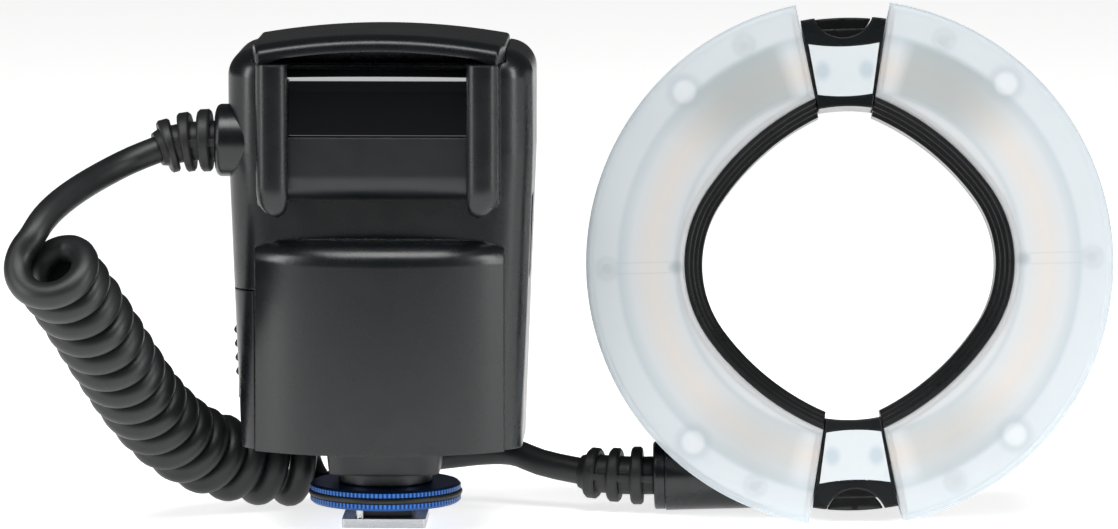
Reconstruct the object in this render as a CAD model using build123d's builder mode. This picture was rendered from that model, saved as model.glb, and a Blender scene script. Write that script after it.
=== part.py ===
from build123d import *
from math import acos, asin, atan, cos, degrees, pi, radians, sin, sqrt, tan
import os

# Macro ring flash: a control unit on a hot-shoe foot, a ring lamp head that goes round the
# front of a lens, and the curly cord between them. Millimetres. The origin is the centre of
# the foot's underside, +Z is up and the front of the unit faces -Y.

os.makedirs("parts", exist_ok=True)

# Fits and walls shared by the whole flash
wall = 1.8  # moulded housing wall
running_gap = 0.3  # between pieces that move past each other
seat_gap = 0.1  # between pieces that sit in one another
overrun = 4.0  # how far a cut runs past what it cuts

# Control unit, outside
unit_width = 67.0
unit_width_low = 62.0
unit_depth = 42.0
unit_rear = 18.0
unit_bottom = 19.5
unit_waist = 85.0  # the sides widen from the bottom up to here
unit_shoulder = 107.5
unit_corner = 9.0
shoulder_radius = 6.0
unit_middle = unit_rear - unit_depth / 2
unit_front = unit_rear - unit_depth
split_depth = 9.0  # the front shell ends here and the rear shell starts

# Bulged lower front of the unit
bulge_width = 54.6
bulge_reach = 10.0
bulge_top = 66.0
bulge_drop = 9.0  # how far the middle of the bulge stands proud of its ends
bulge_roll = 5.0

# Sensor head in the upper front of the unit
head_half_width = 26.4
head_inner_half_width = 20.0
head_reach = 7.2
head_bottom = 73.5
head_top = 104.5
head_round = 2.8
seam_height = 89.2

# Hood over the top
cap_half_width = 27.6
cap_seat = 105.0
cap_crown = 111.5


def finish(build, label):
    """Name a finished piece and write it."""
    build.part.label = label
    export_step(build.part, f"parts/{label}.step")


def housing_form(inset):
    """The closed outer form of the control unit, drawn in on every side by inset."""
    radius = unit_corner - inset
    with BuildPart() as form:
        with BuildSketch(Plane.XY.offset(unit_bottom + inset)):
            with Locations((0, unit_middle)):
                RectangleRounded(unit_width_low - 2 * inset, unit_depth - 2 * inset, radius)
        with BuildSketch(Plane.XY.offset(unit_waist)):
            with Locations((0, unit_middle)):
                RectangleRounded(unit_width - 2 * inset, unit_depth - 2 * inset, radius)
        loft(ruled=True)
        with BuildSketch(Plane.XY.offset(unit_waist)):
            with Locations((0, unit_middle)):
                RectangleRounded(unit_width - 2 * inset, unit_depth - 2 * inset, radius)
        extrude(amount=unit_shoulder - inset - unit_waist)
        fillet(form.faces().sort_by(Axis.Z)[-1].edges(), radius=shoulder_radius - inset)
    return form.part


def bulge_form(inset):
    """The lower front bulge, drawn in by inset; it runs back into the housing."""
    half = bulge_width / 2 - inset
    back = unit_front + unit_depth / 3
    front = unit_front - bulge_reach + inset
    with BuildPart() as form:
        with BuildSketch(Plane.XY.offset(unit_bottom + inset)):
            with BuildLine():
                ThreePointArc((-half, front + bulge_drop), (0, front), (half, front + bulge_drop))
                Polyline((half, front + bulge_drop), (half, back), (-half, back), (-half, front + bulge_drop))
            make_face()
        extrude(amount=bulge_top - unit_bottom - 2 * inset)
        fillet(
            form.faces().sort_by(Axis.Z)[-1].edges().sort_by(Axis.Y)[0],
            radius=bulge_roll - inset,
        )
    return form.part


def side_at(height):
    """Half the width of the unit's housing at a height."""
    share = min((height - unit_bottom) / (unit_waist - unit_bottom), 1)
    return (unit_width_low + (unit_width - unit_width_low) * share) / 2


# Battery door: the lower left corner of the housing, from the bulge's edge round the side
door_top = 54.5
door_rear = 7.0
door_front_edge = bulge_width / 2 + running_gap

# Socket cover on the right side
cover_bottom = 57.0
cover_top = 74.5
cover_front = -14.5
cover_rear = -2.5
cover_thickness = 1.6
cover_face = side_at(cover_bottom) + seat_gap

# Curly-cord gland on the left side
gland_depth = -8.0
gland_height = 87.0
gland_radius = 8.0
gland_end = 35.6
cord_diameter = 6.0
cord_clearance = 0.2

# Rear display and keys
display_width = 46.0
display_height = 32.0
display_middle = 80.0
display_round = 3.0
display_cover_thickness = 1.0
display_ledge = 2.5
key_proud = 1.0
key_travel = 0.8
key_corner = 1.2
key_middle = 46.0
board_face = 13.8  # rear face of the main board
board_thickness = 1.6
arrow_offset = 10.0
arrow_length = 9.0
arrow_width = 6.0
set_radius = 5.0
side_key_offset = 22.0
side_key_radius = 3.6
key_places = {
    "arrow_up_button": (0, key_middle + arrow_offset, arrow_length, arrow_width),
    "arrow_down_button": (0, key_middle - arrow_offset, arrow_length, arrow_width),
    "arrow_left_button": (arrow_offset, key_middle, arrow_width, arrow_length),
    "arrow_right_button": (-arrow_offset, key_middle, arrow_width, arrow_length),
}
round_key_places = {
    "set_button": (0, key_middle, set_radius),
    "power_button": (side_key_offset, key_middle, side_key_radius),
    "test_button": (-side_key_offset, key_middle, side_key_radius),
}
key_floor = board_face + key_travel + running_gap

# Screws that hold the rear shell
screw_radius = 1.6
screw_depth = 1.2
screw_x = unit_width_low / 2 - unit_corner + wall
screw_low = unit_bottom + unit_corner / 2
screw_high = unit_shoulder - shoulder_radius - screw_radius - running_gap * 2
screw_post = 2.6

# Battery magazine and the contacts at its inner end
cell_radius = 7.25
cell_length = 49.2
cell_button_radius = 2.75
cell_button_length = 1.3
cell_gap = 0.6
magazine_wall = 1.2
magazine_front = unit_front + 2 * wall
magazine_size = 4 * cell_radius + 2 * magazine_wall + cell_gap
magazine_length = cell_length + cell_button_length + 2 * magazine_wall + cell_gap
magazine_bottom = unit_bottom + wall + running_gap
magazine_middle = magazine_front + magazine_size / 2
magazine_height = magazine_bottom + magazine_size / 2
cell_pitch = 2 * cell_radius + cell_gap / 2
contact_thickness = 0.4
contact_height = 20.0
contact_width = 9.0
contact_face = magazine_length / 2 + 2 * running_gap

screw_places = [(x, z) for x in (-screw_x, screw_x) for z in (screw_low, screw_high)]
rear_plane = Plane(origin=(0, unit_rear, 0), x_dir=(1, 0, 0), z_dir=(0, -1, 0))

housing_outer = housing_form(0)
housing_inner = housing_form(wall)

# Front shell: housing, bulge and the two rounded pillars of the sensor head
with BuildPart() as front_shell:
    add(housing_outer)
    add(bulge_form(0))
    for side in (-1, 1):
        with BuildSketch(Plane.XY.offset(head_bottom)) as pillar:
            with Locations((side * (head_half_width + head_inner_half_width) / 2, unit_front)):
                RectangleRounded(head_half_width - head_inner_half_width, 2 * head_reach, head_round)
        extrude(amount=head_top - head_bottom)
    pillar_ends = front_shell.faces().filter_by(Axis.Z).filter_by(
        lambda face: face.center().Y < unit_front and face.center().Z < head_bottom + seat_gap
        and face.center().Z > bulge_top + seat_gap
    )
    fillet(pillar_ends.edges().filter_by(lambda edge: edge.center().Y < unit_front), radius=head_round / 2)
    add(housing_inner, mode=Mode.SUBTRACT)
    add(bulge_form(wall), mode=Mode.SUBTRACT)
    # everything behind the split belongs to the rear shell
    with BuildSketch(Plane.XZ.offset(-split_depth)):
        Rectangle(2 * unit_width, 4 * unit_shoulder)
    extrude(amount=-unit_depth, mode=Mode.SUBTRACT)
    # seat of the hood
    with BuildSketch(Plane.XY.offset(cap_seat - seat_gap)):
        with Locations((0, unit_middle)):
            Rectangle(2 * (cap_half_width + seat_gap), 2 * unit_depth)
    extrude(amount=unit_shoulder, mode=Mode.SUBTRACT)
    # battery door opening
    with BuildSketch(Plane.XZ.offset(-door_rear - running_gap)):
        with Locations((-door_front_edge + running_gap, unit_bottom - overrun)):
            Rectangle(
                unit_width, door_top + running_gap - unit_bottom + overrun,
                align=(Align.MAX, Align.MIN),
            )
    extrude(amount=2 * unit_depth, mode=Mode.SUBTRACT)
    # socket cover opening
    with BuildSketch(Plane.YZ.offset(unit_width_low / 4)):
        with Locations(((cover_front + cover_rear) / 2, (cover_bottom + cover_top) / 2)):
            RectangleRounded(
                cover_rear - cover_front + 2 * running_gap,
                cover_top - cover_bottom + 2 * running_gap,
                key_corner,
            )
    extrude(amount=unit_width, mode=Mode.SUBTRACT)
    # pads behind the battery contacts
    for row in (-1, 1):
        with BuildSketch(Plane.YZ.offset(contact_face + contact_thickness + seat_gap)):
            with Locations((magazine_middle + row * cell_pitch / 2, magazine_height)):
                Rectangle(contact_width / 2, contact_height)
        extrude(amount=unit_width_low / 2 - wall / 2 - contact_face)
    # cord hole under the gland
    with BuildSketch(Plane.YZ.offset(-unit_width_low / 4)):
        with Locations((gland_depth, gland_height)):
            Circle(cord_diameter / 2 + cord_clearance)
    extrude(amount=-unit_width, mode=Mode.SUBTRACT)
finish(front_shell, "front_shell")

# Rear shell: the display window and the key holes
with BuildPart() as rear_shell:
    add(housing_outer)
    add(housing_inner, mode=Mode.SUBTRACT)
    with BuildSketch(Plane.XZ.offset(-split_depth - seat_gap)):
        Rectangle(2 * unit_width, 4 * unit_shoulder)
    extrude(amount=2 * unit_depth, mode=Mode.SUBTRACT)
    with BuildSketch(Plane.XY.offset(cap_seat - seat_gap)):
        with Locations((0, unit_middle)):
            Rectangle(2 * (cap_half_width + seat_gap), 2 * unit_depth)
    extrude(amount=unit_shoulder, mode=Mode.SUBTRACT)
    # posts that the main board stands on
    with BuildSketch(Plane.XZ.offset(-board_face - seat_gap)):
        with Locations(*screw_places):
            Circle(screw_post)
    extrude(amount=-(unit_rear - wall / 2 - board_face))
    # window recess and the opening behind it
    with BuildSketch(rear_plane):
        with Locations((0, display_middle)):
            RectangleRounded(display_width + 2 * seat_gap, display_height + 2 * seat_gap, display_round)
    extrude(amount=display_cover_thickness, mode=Mode.SUBTRACT)
    with BuildSketch(rear_plane):
        with Locations((0, display_middle)):
            RectangleRounded(
                display_width - 2 * display_ledge, display_height - 2 * display_ledge, display_round
            )
    extrude(amount=wall + overrun, mode=Mode.SUBTRACT)
    # key holes
    with BuildSketch(rear_plane):
        for x, z, width, height in key_places.values():
            with Locations((x, z)):
                RectangleRounded(width + 2 * running_gap, height + 2 * running_gap, key_corner + running_gap)
        for x, z, radius in round_key_places.values():
            with Locations((x, z)):
                Circle(radius + running_gap)
    extrude(amount=wall + overrun, mode=Mode.SUBTRACT)
    # screw counterbores
    with BuildSketch(rear_plane):
        with Locations(*screw_places):
            Circle(screw_radius + seat_gap)
    extrude(amount=screw_depth + seat_gap, mode=Mode.SUBTRACT)
finish(rear_shell, "rear_shell")

# Screws, seated below the rear face, each with a cross recess left to the finish
with BuildPart() as unit_screws:
    with BuildSketch(rear_plane.offset(seat_gap)):
        with Locations(*screw_places):
            Circle(screw_radius)
    extrude(amount=screw_depth)
finish(unit_screws, "unit_screws")

# Hood over the top: crowned both ways, with a front lip that hangs over the window
cap_front = unit_front - head_reach - seat_gap
cap_rear = unit_rear - shoulder_radius + seat_gap
cap_edge_drop = 2.4  # the crown falls this far to the sides
cap_nose = 3.0
cap_edge = 0.8
with BuildPart() as top_cap:
    with BuildSketch(Plane.YZ):
        with BuildLine():
            back_low = (cap_rear, cap_seat)
            back_high = (cap_rear, cap_crown - cap_edge_drop)
            crown = (unit_middle + cap_nose, cap_crown)
            brow = (cap_front + cap_nose, cap_crown - cap_edge_drop)
            nose = (cap_front, cap_crown - cap_edge_drop - cap_nose / 2)
            lip = (cap_front, cap_seat)
            ThreePointArc(back_high, crown, brow)
            Polyline(brow, nose, lip, back_low, back_high)
        make_face()
    extrude(amount=cap_half_width, both=True)
    with BuildSketch(Plane.XZ.offset(-unit_rear)):
        with BuildLine():
            left = (-cap_half_width, cap_crown - cap_edge_drop)
            right = (cap_half_width, cap_crown - cap_edge_drop)
            ThreePointArc(left, (0, cap_crown), right)
            Polyline(
                right, (cap_half_width, cap_seat), (-cap_half_width, cap_seat), left
            )
        make_face()
    extrude(amount=2 * unit_depth, mode=Mode.INTERSECT)
    fillet(top_cap.edges().group_by(Axis.Z)[-1] + top_cap.edges().filter_by(
        lambda edge: edge.center().Z > cap_seat + cap_nose / 2
    ), radius=cap_edge)
finish(top_cap, "top_cap")


# Sensor window above the seam and rolled front panel below it: two curved plates between the
# pillars, each flat in front and rolled back at its far end
window_reach = 6.2
window_roll = 5.8
window_skin = 1.6
window_half_width = head_inner_half_width - seat_gap


def rolled_plate(seam, end):
    """A plate from the seam to its far end, where it rolls back to the front of the housing."""
    step = 1 if end > seam else -1
    front = unit_front - window_reach
    back = unit_front - seat_gap
    roll_middle = (front + window_roll, end - step * window_roll)
    inner = window_roll - window_skin
    with BuildPart() as plate:
        with BuildSketch(Plane.YZ):
            with BuildLine():
                CenterArc(roll_middle, window_roll, 180, -step * 90)
                CenterArc(roll_middle, inner, 180, -step * 90)
                Polyline((front + window_roll, end), (back, end))
                Polyline((back, end), (back, end - step * window_skin))
                Polyline((back, end - step * window_skin), (front + window_roll, end - step * window_skin))
                Polyline(
                    (front + window_skin, end - step * window_roll),
                    (front + window_skin, seam),
                    (front, seam),
                    (front, end - step * window_roll),
                )
            make_face()
        extrude(amount=window_half_width, both=True)
    return plate.part


with BuildPart() as sensor_window:
    add(rolled_plate(seam_height + seat_gap, head_top + seat_gap))
finish(sensor_window, "sensor_window")

with BuildPart() as front_panel:
    add(rolled_plate(seam_height - seat_gap, head_bottom + head_round / 2))
finish(front_panel, "front_panel")

# Receiver board behind the window, on the front wall of the housing, with two domed sensors
receiver_width = 30.0
receiver_height = 10.0
receiver_board_thickness = 1.0
sensor_radius = 2.4
sensor_height = 2.4
sensor_spacing = 14.0
sensor_level = (seam_height + head_top - window_roll) / 2
with BuildPart() as receiver_board:
    with BuildSketch(Plane.XZ.offset(-unit_front + seat_gap)):
        with Locations((0, sensor_level)):
            Rectangle(receiver_width, receiver_height)
    extrude(amount=receiver_board_thickness)
    with BuildSketch(Plane.XZ.offset(-unit_front + seat_gap + receiver_board_thickness)):
        with Locations((-sensor_spacing / 2, sensor_level), (sensor_spacing / 2, sensor_level)):
            Circle(sensor_radius)
    extrude(amount=sensor_height)
finish(receiver_board, "receiver_board")

# Battery door: the corner of the housing itself, with grip ribs and a thumb tab
rib_count = 4
rib_pitch = 3.1
rib_top = 44.6
rib_length = 14.0
rib_radius = 0.9
rib_middle = (door_rear + unit_front + unit_corner) / 2
tab_bottom = 28.8
tab_height = 4.2
tab_proud = 0.8
with BuildPart() as battery_door:
    add(housing_outer)
    add(housing_inner, mode=Mode.SUBTRACT)
    with BuildSketch(Plane.XZ.offset(-door_rear)):
        with Locations((-door_front_edge, unit_bottom - overrun)):
            Rectangle(unit_width, door_top - unit_bottom + overrun, align=(Align.MAX, Align.MIN))
    extrude(amount=2 * unit_depth, mode=Mode.INTERSECT)
    for number in range(rib_count):
        height = rib_top - number * rib_pitch
        with BuildSketch(Plane.XZ.offset(-rib_middle - rib_length / 2)):
            with Locations((-side_at(height), height)):
                Circle(rib_radius)
        extrude(amount=rib_length)
    with BuildSketch(Plane.YZ.offset(-side_at(tab_bottom) - tab_proud)):
        with Locations((rib_middle, tab_bottom)):
            RectangleRounded(rib_length / 2, tab_height, key_corner, align=(Align.CENTER, Align.MIN))
    extrude(amount=tab_proud + wall / 2)
finish(battery_door, "battery_door")

# Battery magazine and its four AA cells, lying across the unit
magazine_corner = 2.0
magazine_window = 34.0
cell_back = -(cell_length + cell_button_length) / 2
with BuildPart() as battery_magazine:
    with BuildSketch(Plane.YZ.offset(-magazine_length / 2)):
        with Locations((magazine_middle, magazine_height)):
            Rectangle(magazine_size, magazine_size)
    extrude(amount=magazine_length)
    fillet(battery_magazine.edges().filter_by(Axis.Z), radius=magazine_corner)
    with BuildSketch(Plane.YZ.offset(magazine_wall - magazine_length / 2)):
        with Locations((magazine_middle, magazine_height)):
            with GridLocations(cell_pitch, cell_pitch, 2, 2):
                Circle(cell_radius + seat_gap)
    extrude(amount=magazine_length - 2 * magazine_wall, mode=Mode.SUBTRACT)
    # the cells show through a window in each long side
    with BuildSketch(Plane.XY.offset(magazine_bottom - overrun)):
        with Locations((0, magazine_middle - cell_pitch / 2), (0, magazine_middle + cell_pitch / 2)):
            RectangleRounded(magazine_window, cell_radius, key_corner)
    extrude(amount=magazine_size + 2 * overrun, mode=Mode.SUBTRACT)
finish(battery_magazine, "battery_magazine")

with BuildPart() as battery_cells:
    with BuildSketch(Plane.YZ.offset(cell_back)):
        with Locations((magazine_middle, magazine_height)):
            with GridLocations(cell_pitch, cell_pitch, 2, 2):
                Circle(cell_radius)
    extrude(amount=cell_length)
    with BuildSketch(Plane.YZ.offset(cell_back + cell_length)):
        with Locations((magazine_middle, magazine_height)):
            with GridLocations(cell_pitch, cell_pitch, 2, 2):
                Circle(cell_button_radius)
    extrude(amount=cell_button_length)
finish(battery_cells, "battery_cells")

# Spring plates at the inner end of the battery bay, one beside each row of cells
with BuildPart() as battery_contacts:
    with BuildSketch(Plane.YZ.offset(contact_face)):
        for row in (-1, 1):
            with Locations((magazine_middle + row * cell_pitch / 2, magazine_height)):
                RectangleRounded(contact_width, contact_height, key_corner)
    extrude(amount=contact_thickness)
finish(battery_contacts, "battery_contacts")

# Main board, upright behind the battery bay
board_half_width = unit_width_low / 2 - wall - unit_corner / 3
board_bottom = unit_bottom + 2 * wall
board_top = cap_seat - 2 * wall
with BuildPart() as main_board:
    with BuildSketch(Plane.XZ.offset(-board_face + board_thickness)):
        with Locations((0, board_bottom)):
            Rectangle(2 * board_half_width, board_top - board_bottom, align=(Align.CENTER, Align.MIN))
    extrude(amount=-board_thickness)
    # chips on the front face, above the battery bay
    with BuildSketch(Plane.XZ.offset(-board_face + board_thickness)):
        with Locations((0, (magazine_bottom + magazine_size + board_top) / 2)):
            with GridLocations(board_half_width, board_half_width, 2, 2):
                Rectangle(board_half_width / 3, board_half_width / 3)
    extrude(amount=board_thickness)
finish(main_board, "main_board")

# Flash capacitor, lying above the battery magazine
capacitor_radius = 11.5
capacitor_length = 40.0
capacitor_rim = 1.0
capacitor_height = magazine_bottom + magazine_size + capacitor_radius + running_gap
socket_depth = 7.0
socket_face = side_at(cover_bottom - wall) - wall - seat_gap
capacitor_end = socket_face - socket_depth - wall
with BuildPart() as flash_capacitor:
    with BuildSketch(Plane.YZ.offset(capacitor_end)):
        with Locations((magazine_middle - wall, capacitor_height)):
            Circle(capacitor_radius)
    extrude(amount=-capacitor_length)
    fillet(flash_capacitor.edges().filter_by(GeomType.CIRCLE), radius=capacitor_rim)
finish(flash_capacitor, "flash_capacitor")

# Display and its clear cover
panel_depth = unit_rear - display_cover_thickness - board_face - 2 * seat_gap
with BuildPart() as display_cover:
    with BuildSketch(rear_plane):
        with Locations((0, display_middle)):
            RectangleRounded(display_width, display_height, display_round)
    extrude(amount=display_cover_thickness - seat_gap)
finish(display_cover, "display_cover")

with BuildPart() as display_panel:
    with BuildSketch(Plane.XZ.offset(-board_face - seat_gap)):
        with Locations((0, display_middle)):
            RectangleRounded(
                display_width - 2 * display_ledge - 2 * seat_gap,
                display_height - 2 * display_ledge - 2 * seat_gap,
                display_round,
            )
    extrude(amount=-panel_depth)
finish(display_panel, "display_panel")

# Keys: each stands proud of the rear face and reaches in to just short of the board
key_plane = Plane.XZ.offset(-key_floor)
key_length = unit_rear + key_proud - key_floor
for name, (x, z, width, height) in key_places.items():
    with BuildPart() as arrow_key:
        with BuildSketch(key_plane):
            with Locations((x, z)):
                RectangleRounded(width, height, key_corner)
        extrude(amount=-key_length)
        fillet(arrow_key.faces().sort_by(Axis.Y)[-1].edges(), radius=key_proud / 2)
    finish(arrow_key, name)
for name, (x, z, radius) in round_key_places.items():
    with BuildPart() as round_key:
        with BuildSketch(key_plane):
            with Locations((x, z)):
                Circle(radius)
        extrude(amount=-key_length)
        fillet(round_key.faces().sort_by(Axis.Y)[-1].edges(), radius=key_proud / 2)
    finish(round_key, name)

# Socket cover and the socket block behind it
jack_radius = 1.75
jack_inset = 4.4
with BuildPart() as socket_cover:
    with BuildSketch(Plane.YZ.offset(cover_face)):
        with Locations(((cover_front + cover_rear) / 2, (cover_bottom + cover_top) / 2)):
            RectangleRounded(cover_rear - cover_front, cover_top - cover_bottom, key_corner)
    extrude(amount=-cover_thickness)
    fillet(socket_cover.faces().sort_by(Axis.X)[-1].edges(), radius=cover_thickness / 4)
    # finger notch along the front edge
    with BuildSketch(Plane.YZ.offset(cover_face)):
        with Locations((cover_front, cover_top)):
            Rectangle(key_corner, (cover_top - cover_bottom) * 2 / 3, align=(Align.MIN, Align.MAX))
    extrude(amount=-cover_thickness / 2, mode=Mode.SUBTRACT)
finish(socket_cover, "socket_cover")

with BuildPart() as socket_block:
    with BuildSketch(Plane.YZ.offset(socket_face)):
        with Locations(((cover_front + cover_rear) / 2, (cover_bottom + cover_top) / 2)):
            Rectangle(cover_rear - cover_front + wall, cover_top - cover_bottom + wall)
    extrude(amount=-socket_depth)
    with BuildSketch(Plane.YZ.offset(socket_face)):
        for height in (cover_bottom + jack_inset, cover_top - jack_inset):
            with Locations(((cover_front + cover_rear) / 2, height)):
                Circle(jack_radius)
    extrude(amount=-socket_depth + wall, mode=Mode.SUBTRACT)
finish(socket_block, "socket_block")

# Gland boss on the left side, and the ribbed strain relief that bends towards the front
gland_rim = 0.8
with BuildPart() as unit_gland:
    with BuildSketch(Plane.YZ.offset(-gland_end)):
        with Locations((gland_depth, gland_height)):
            Circle(gland_radius)
    extrude(amount=gland_end - unit_width / 2 + unit_corner / 2)
    fillet(unit_gland.faces().sort_by(Axis.X)[0].edges(), radius=gland_rim)
    add(housing_form(-seat_gap), mode=Mode.SUBTRACT)
finish(unit_gland, "unit_gland")


def strain_relief(start, heading, drop, turn, rib_radii):
    """A ribbed sleeve from a face, bent through an angle, with a rib for each radius given."""
    length = sleeve_pitch * len(rib_radii) + sleeve_neck
    bend = length / radians(turn)
    normal = Vector(heading).normalized()
    aside = (Vector(drop) - normal * Vector(drop).dot(normal)).normalized()
    plane = Plane(origin=start, x_dir=aside, z_dir=normal)
    bend_plane = Plane(origin=start, x_dir=normal, z_dir=normal.cross(aside))
    with BuildPart() as sleeve:
        with BuildLine(bend_plane) as path:
            arc = JernArc(start=(0, 0), tangent=(1, 0), radius=bend, arc_size=turn)
        with BuildSketch(plane):
            Circle(sleeve_radius)
        sweep()
        for number, radius in enumerate(rib_radii):
            share = (sleeve_neck + (number + rib_place_share) * sleeve_pitch) / length
            with BuildSketch(Plane(arc.location_at(share))):
                Circle(radius)
            extrude(amount=sleeve_rib / 2, both=True)
    return sleeve.part, arc @ 1, arc % 1


sleeve_radius = 3.9
sleeve_pitch = 5.1
sleeve_rib = 3.7
sleeve_neck = 1.2
rib_place_share = 0.5
unit_sleeve_turn = 55.0
unit_sleeve_ribs = [6.9, 6.6, 6.0]
sleeve_solid, left_exit, left_way = strain_relief(
    (-gland_end - seat_gap, gland_depth, gland_height), (-1, 0, 0), (0, -2, -1),
    unit_sleeve_turn, unit_sleeve_ribs,
)
with BuildPart() as unit_strain_relief:
    add(sleeve_solid)
finish(unit_strain_relief, "unit_strain_relief")
print("left cord leaves at", left_exit, left_way)

# Foot: neck, threaded hub and rail block in one, on the steel shoe plate
plate_width = 18.6
plate_length = 18.0
plate_thickness = 2.0
plate_corner = 0.8
rail_width = 12.4
rail_front = -5.4
rail_rear = 8.0
lock_bottom = 4.9
lock_top = 9.3
hub_radius = 8.5
collar_radius = 10.5
neck_bottom = 12.0
neck_width = 26.0
neck_taper = 0.75
neck_corner = 4.0
neck_depth = 23.0
pin_radius = 0.9
pin_length = 3.6
pin_spread = 4.4
pin_places = [(0, 0), (-pin_spread, pin_spread), (0, pin_spread), (pin_spread, pin_spread)]
lock_pin_radius = 0.9
lock_pin_side = 5.3
lock_pin_front = 7.0
with BuildPart() as foot_base:
    with BuildSketch(Plane.XY.offset(neck_bottom)):
        RectangleRounded(neck_width - 2 * neck_taper, neck_depth - 2 * neck_taper, neck_corner)
    with BuildSketch(Plane.XY.offset(unit_bottom - seat_gap)):
        RectangleRounded(neck_width, neck_depth, neck_corner)
    loft(ruled=True)
    with BuildSketch(Plane.XY.offset(lock_top + running_gap)):
        Circle(collar_radius)
    extrude(amount=neck_bottom - lock_top - running_gap)
    with BuildSketch(Plane.XY.offset(lock_bottom)):
        Circle(hub_radius)
    extrude(amount=lock_top - lock_bottom + running_gap)
    with BuildSketch(Plane.XY.offset(plate_thickness)):
        with Locations((0, (rail_front + rail_rear) / 2)):
            Rectangle(rail_width, rail_rear - rail_front)
    extrude(amount=lock_bottom - plate_thickness)
    with BuildSketch(Plane.XY.offset(plate_thickness)):
        with Locations(*pin_places):
            Circle(pin_radius + seat_gap)
    extrude(amount=pin_length + seat_gap - plate_thickness, mode=Mode.SUBTRACT)
finish(foot_base, "foot_base")

with BuildPart() as foot_plate:
    with BuildSketch():
        RectangleRounded(plate_width, plate_length, plate_corner)
        with Locations(*pin_places):
            Circle(pin_radius + seat_gap, mode=Mode.SUBTRACT)
        with Locations((-lock_pin_side, -lock_pin_front)):
            Circle(lock_pin_radius + running_gap, mode=Mode.SUBTRACT)
    extrude(amount=plate_thickness)
finish(foot_plate, "foot_plate")

with BuildPart() as contact_pins:
    with BuildSketch():
        with Locations(*pin_places):
            Circle(pin_radius)
    extrude(amount=pin_length)
finish(contact_pins, "contact_pins")

# Lock pin: the lock ring's cam drives it down through the plate into the camera's shoe
with BuildPart() as lock_pin:
    with BuildSketch(Plane.XY.offset(seat_gap)):
        with Locations((-lock_pin_side, -lock_pin_front)):
            Circle(lock_pin_radius)
    extrude(amount=lock_bottom - running_gap - seat_gap)
finish(lock_pin, "lock_pin")

# Lock ring: two knurled flanges with a rubber seal in the groove between them
flange_radius = 16.8
groove_radius = 15.7
groove_height = 1.5
flange_edge = 0.5
seal_section = 0.75
seal_outer = 17.2
lock_middle = (lock_bottom + lock_top) / 2
with BuildPart() as lock_ring:
    with BuildSketch(Plane.XZ):
        with BuildLine():
            bore = hub_radius + running_gap
            Polyline(
                (bore, lock_bottom),
                (flange_radius - flange_edge, lock_bottom),
                (flange_radius, lock_bottom + flange_edge),
                (flange_radius, lock_middle - groove_height / 2),
                (groove_radius - seat_gap, lock_middle - groove_height / 2),
                (groove_radius - seat_gap, lock_middle + groove_height / 2),
                (flange_radius, lock_middle + groove_height / 2),
                (flange_radius, lock_top - flange_edge),
                (flange_radius - flange_edge, lock_top),
                (bore, lock_top),
                close=True,
            )
        make_face()
    revolve(axis=Axis.Z)
finish(lock_ring, "lock_ring")

with BuildPart() as lock_ring_seal:
    with BuildSketch(Plane.XZ):
        with Locations((seal_outer - seal_section, lock_middle)):
            Circle(seal_section - seat_gap / 2)
    revolve(axis=Axis.Z)
finish(lock_ring_seal, "lock_ring_seal")


# Lamp head. It stands on the floor and leans back; depths are measured back from its front
lean = 7.8
roll = 1.6
lamp_radius = 59.0
lamp_depth = 26.0
gap_angle = 10.3  # half of the angle that the top and bottom blocks take
lamp_x = 103.3
lamp_y = 5.9
lamp_z = lamp_radius * cos(radians(gap_angle - roll)) * cos(radians(lean)) + seat_gap
lamp_normal = Vector(0, -cos(radians(lean)), sin(radians(lean)))
lamp_upright = Vector(0, sin(radians(lean)), cos(radians(lean)))
lamp_front = Plane(
    origin=(lamp_x, lamp_y, lamp_z),
    x_dir=Vector(cos(radians(roll)), 0, 0) + lamp_upright * sin(radians(roll)),
    z_dir=lamp_normal,
)
lamp_axis = Axis(lamp_front.origin, lamp_front.z_dir)
lamp_middle = Plane(origin=lamp_front.origin, x_dir=lamp_front.y_dir, z_dir=lamp_front.x_dir)

# Opening for the lens: a nose arc on each side between two flatter flanks
nose_radius = 25.0
nose_reach = 32.9
nose_angle = 35.0
flank_radius = 56.0
nose_middle = nose_reach - nose_radius
flank_x = nose_middle + (nose_radius - flank_radius) * cos(radians(nose_angle))
flank_y = (nose_radius - flank_radius) * sin(radians(nose_angle))

# Lamp halves
rim_width = 3.8
rim_ledges = 4
rim_start = 1.0
rim_step = 3.2
rim_depth = 24.0
diffuser_depth = 10.0
diffuser_skin = 1.6
diffuser_edge = 1.4
shell_floor = 2.6
far = 2 * lamp_radius


def lamp_point(across, up, depth):
    """A point of the head in the shared frame."""
    return lamp_front.from_local_coords((across, up, -depth))


def opening_form(front, back, grow):
    """The right half of the lens opening, grown all round, between two depths."""
    sweep_angle = degrees(acos(-flank_x / (flank_radius + grow))) - nose_angle
    top = flank_y + sqrt((flank_radius + grow) ** 2 - flank_x**2)
    with BuildPart() as form:
        with BuildSketch(lamp_front.offset(-back)):
            with BuildLine():
                CenterArc((flank_x, flank_y), flank_radius + grow, nose_angle, sweep_angle)
                CenterArc((nose_middle, 0), nose_radius + grow, -nose_angle, 2 * nose_angle)
                CenterArc((flank_x, -flank_y), flank_radius + grow, -nose_angle, -sweep_angle)
                Polyline((0, top), (-overrun, top), (-overrun, -top), (0, -top))
            make_face()
        extrude(amount=back - front)
    return form.part


def sector_form(front, back, inset):
    """The right sector of the head between two depths, its sides drawn in by inset."""
    apex = inset / cos(radians(gap_angle))
    side = (apex + far * sin(radians(gap_angle)), far * cos(radians(gap_angle)))
    with BuildPart() as form:
        with BuildSketch(lamp_front.offset(-back)):
            with BuildLine():
                Polyline((apex, 0), side, (far, side[1]), (far, -side[1]), (side[0], -side[1]), close=True)
            make_face()
        extrude(amount=back - front)
    return form.part


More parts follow.
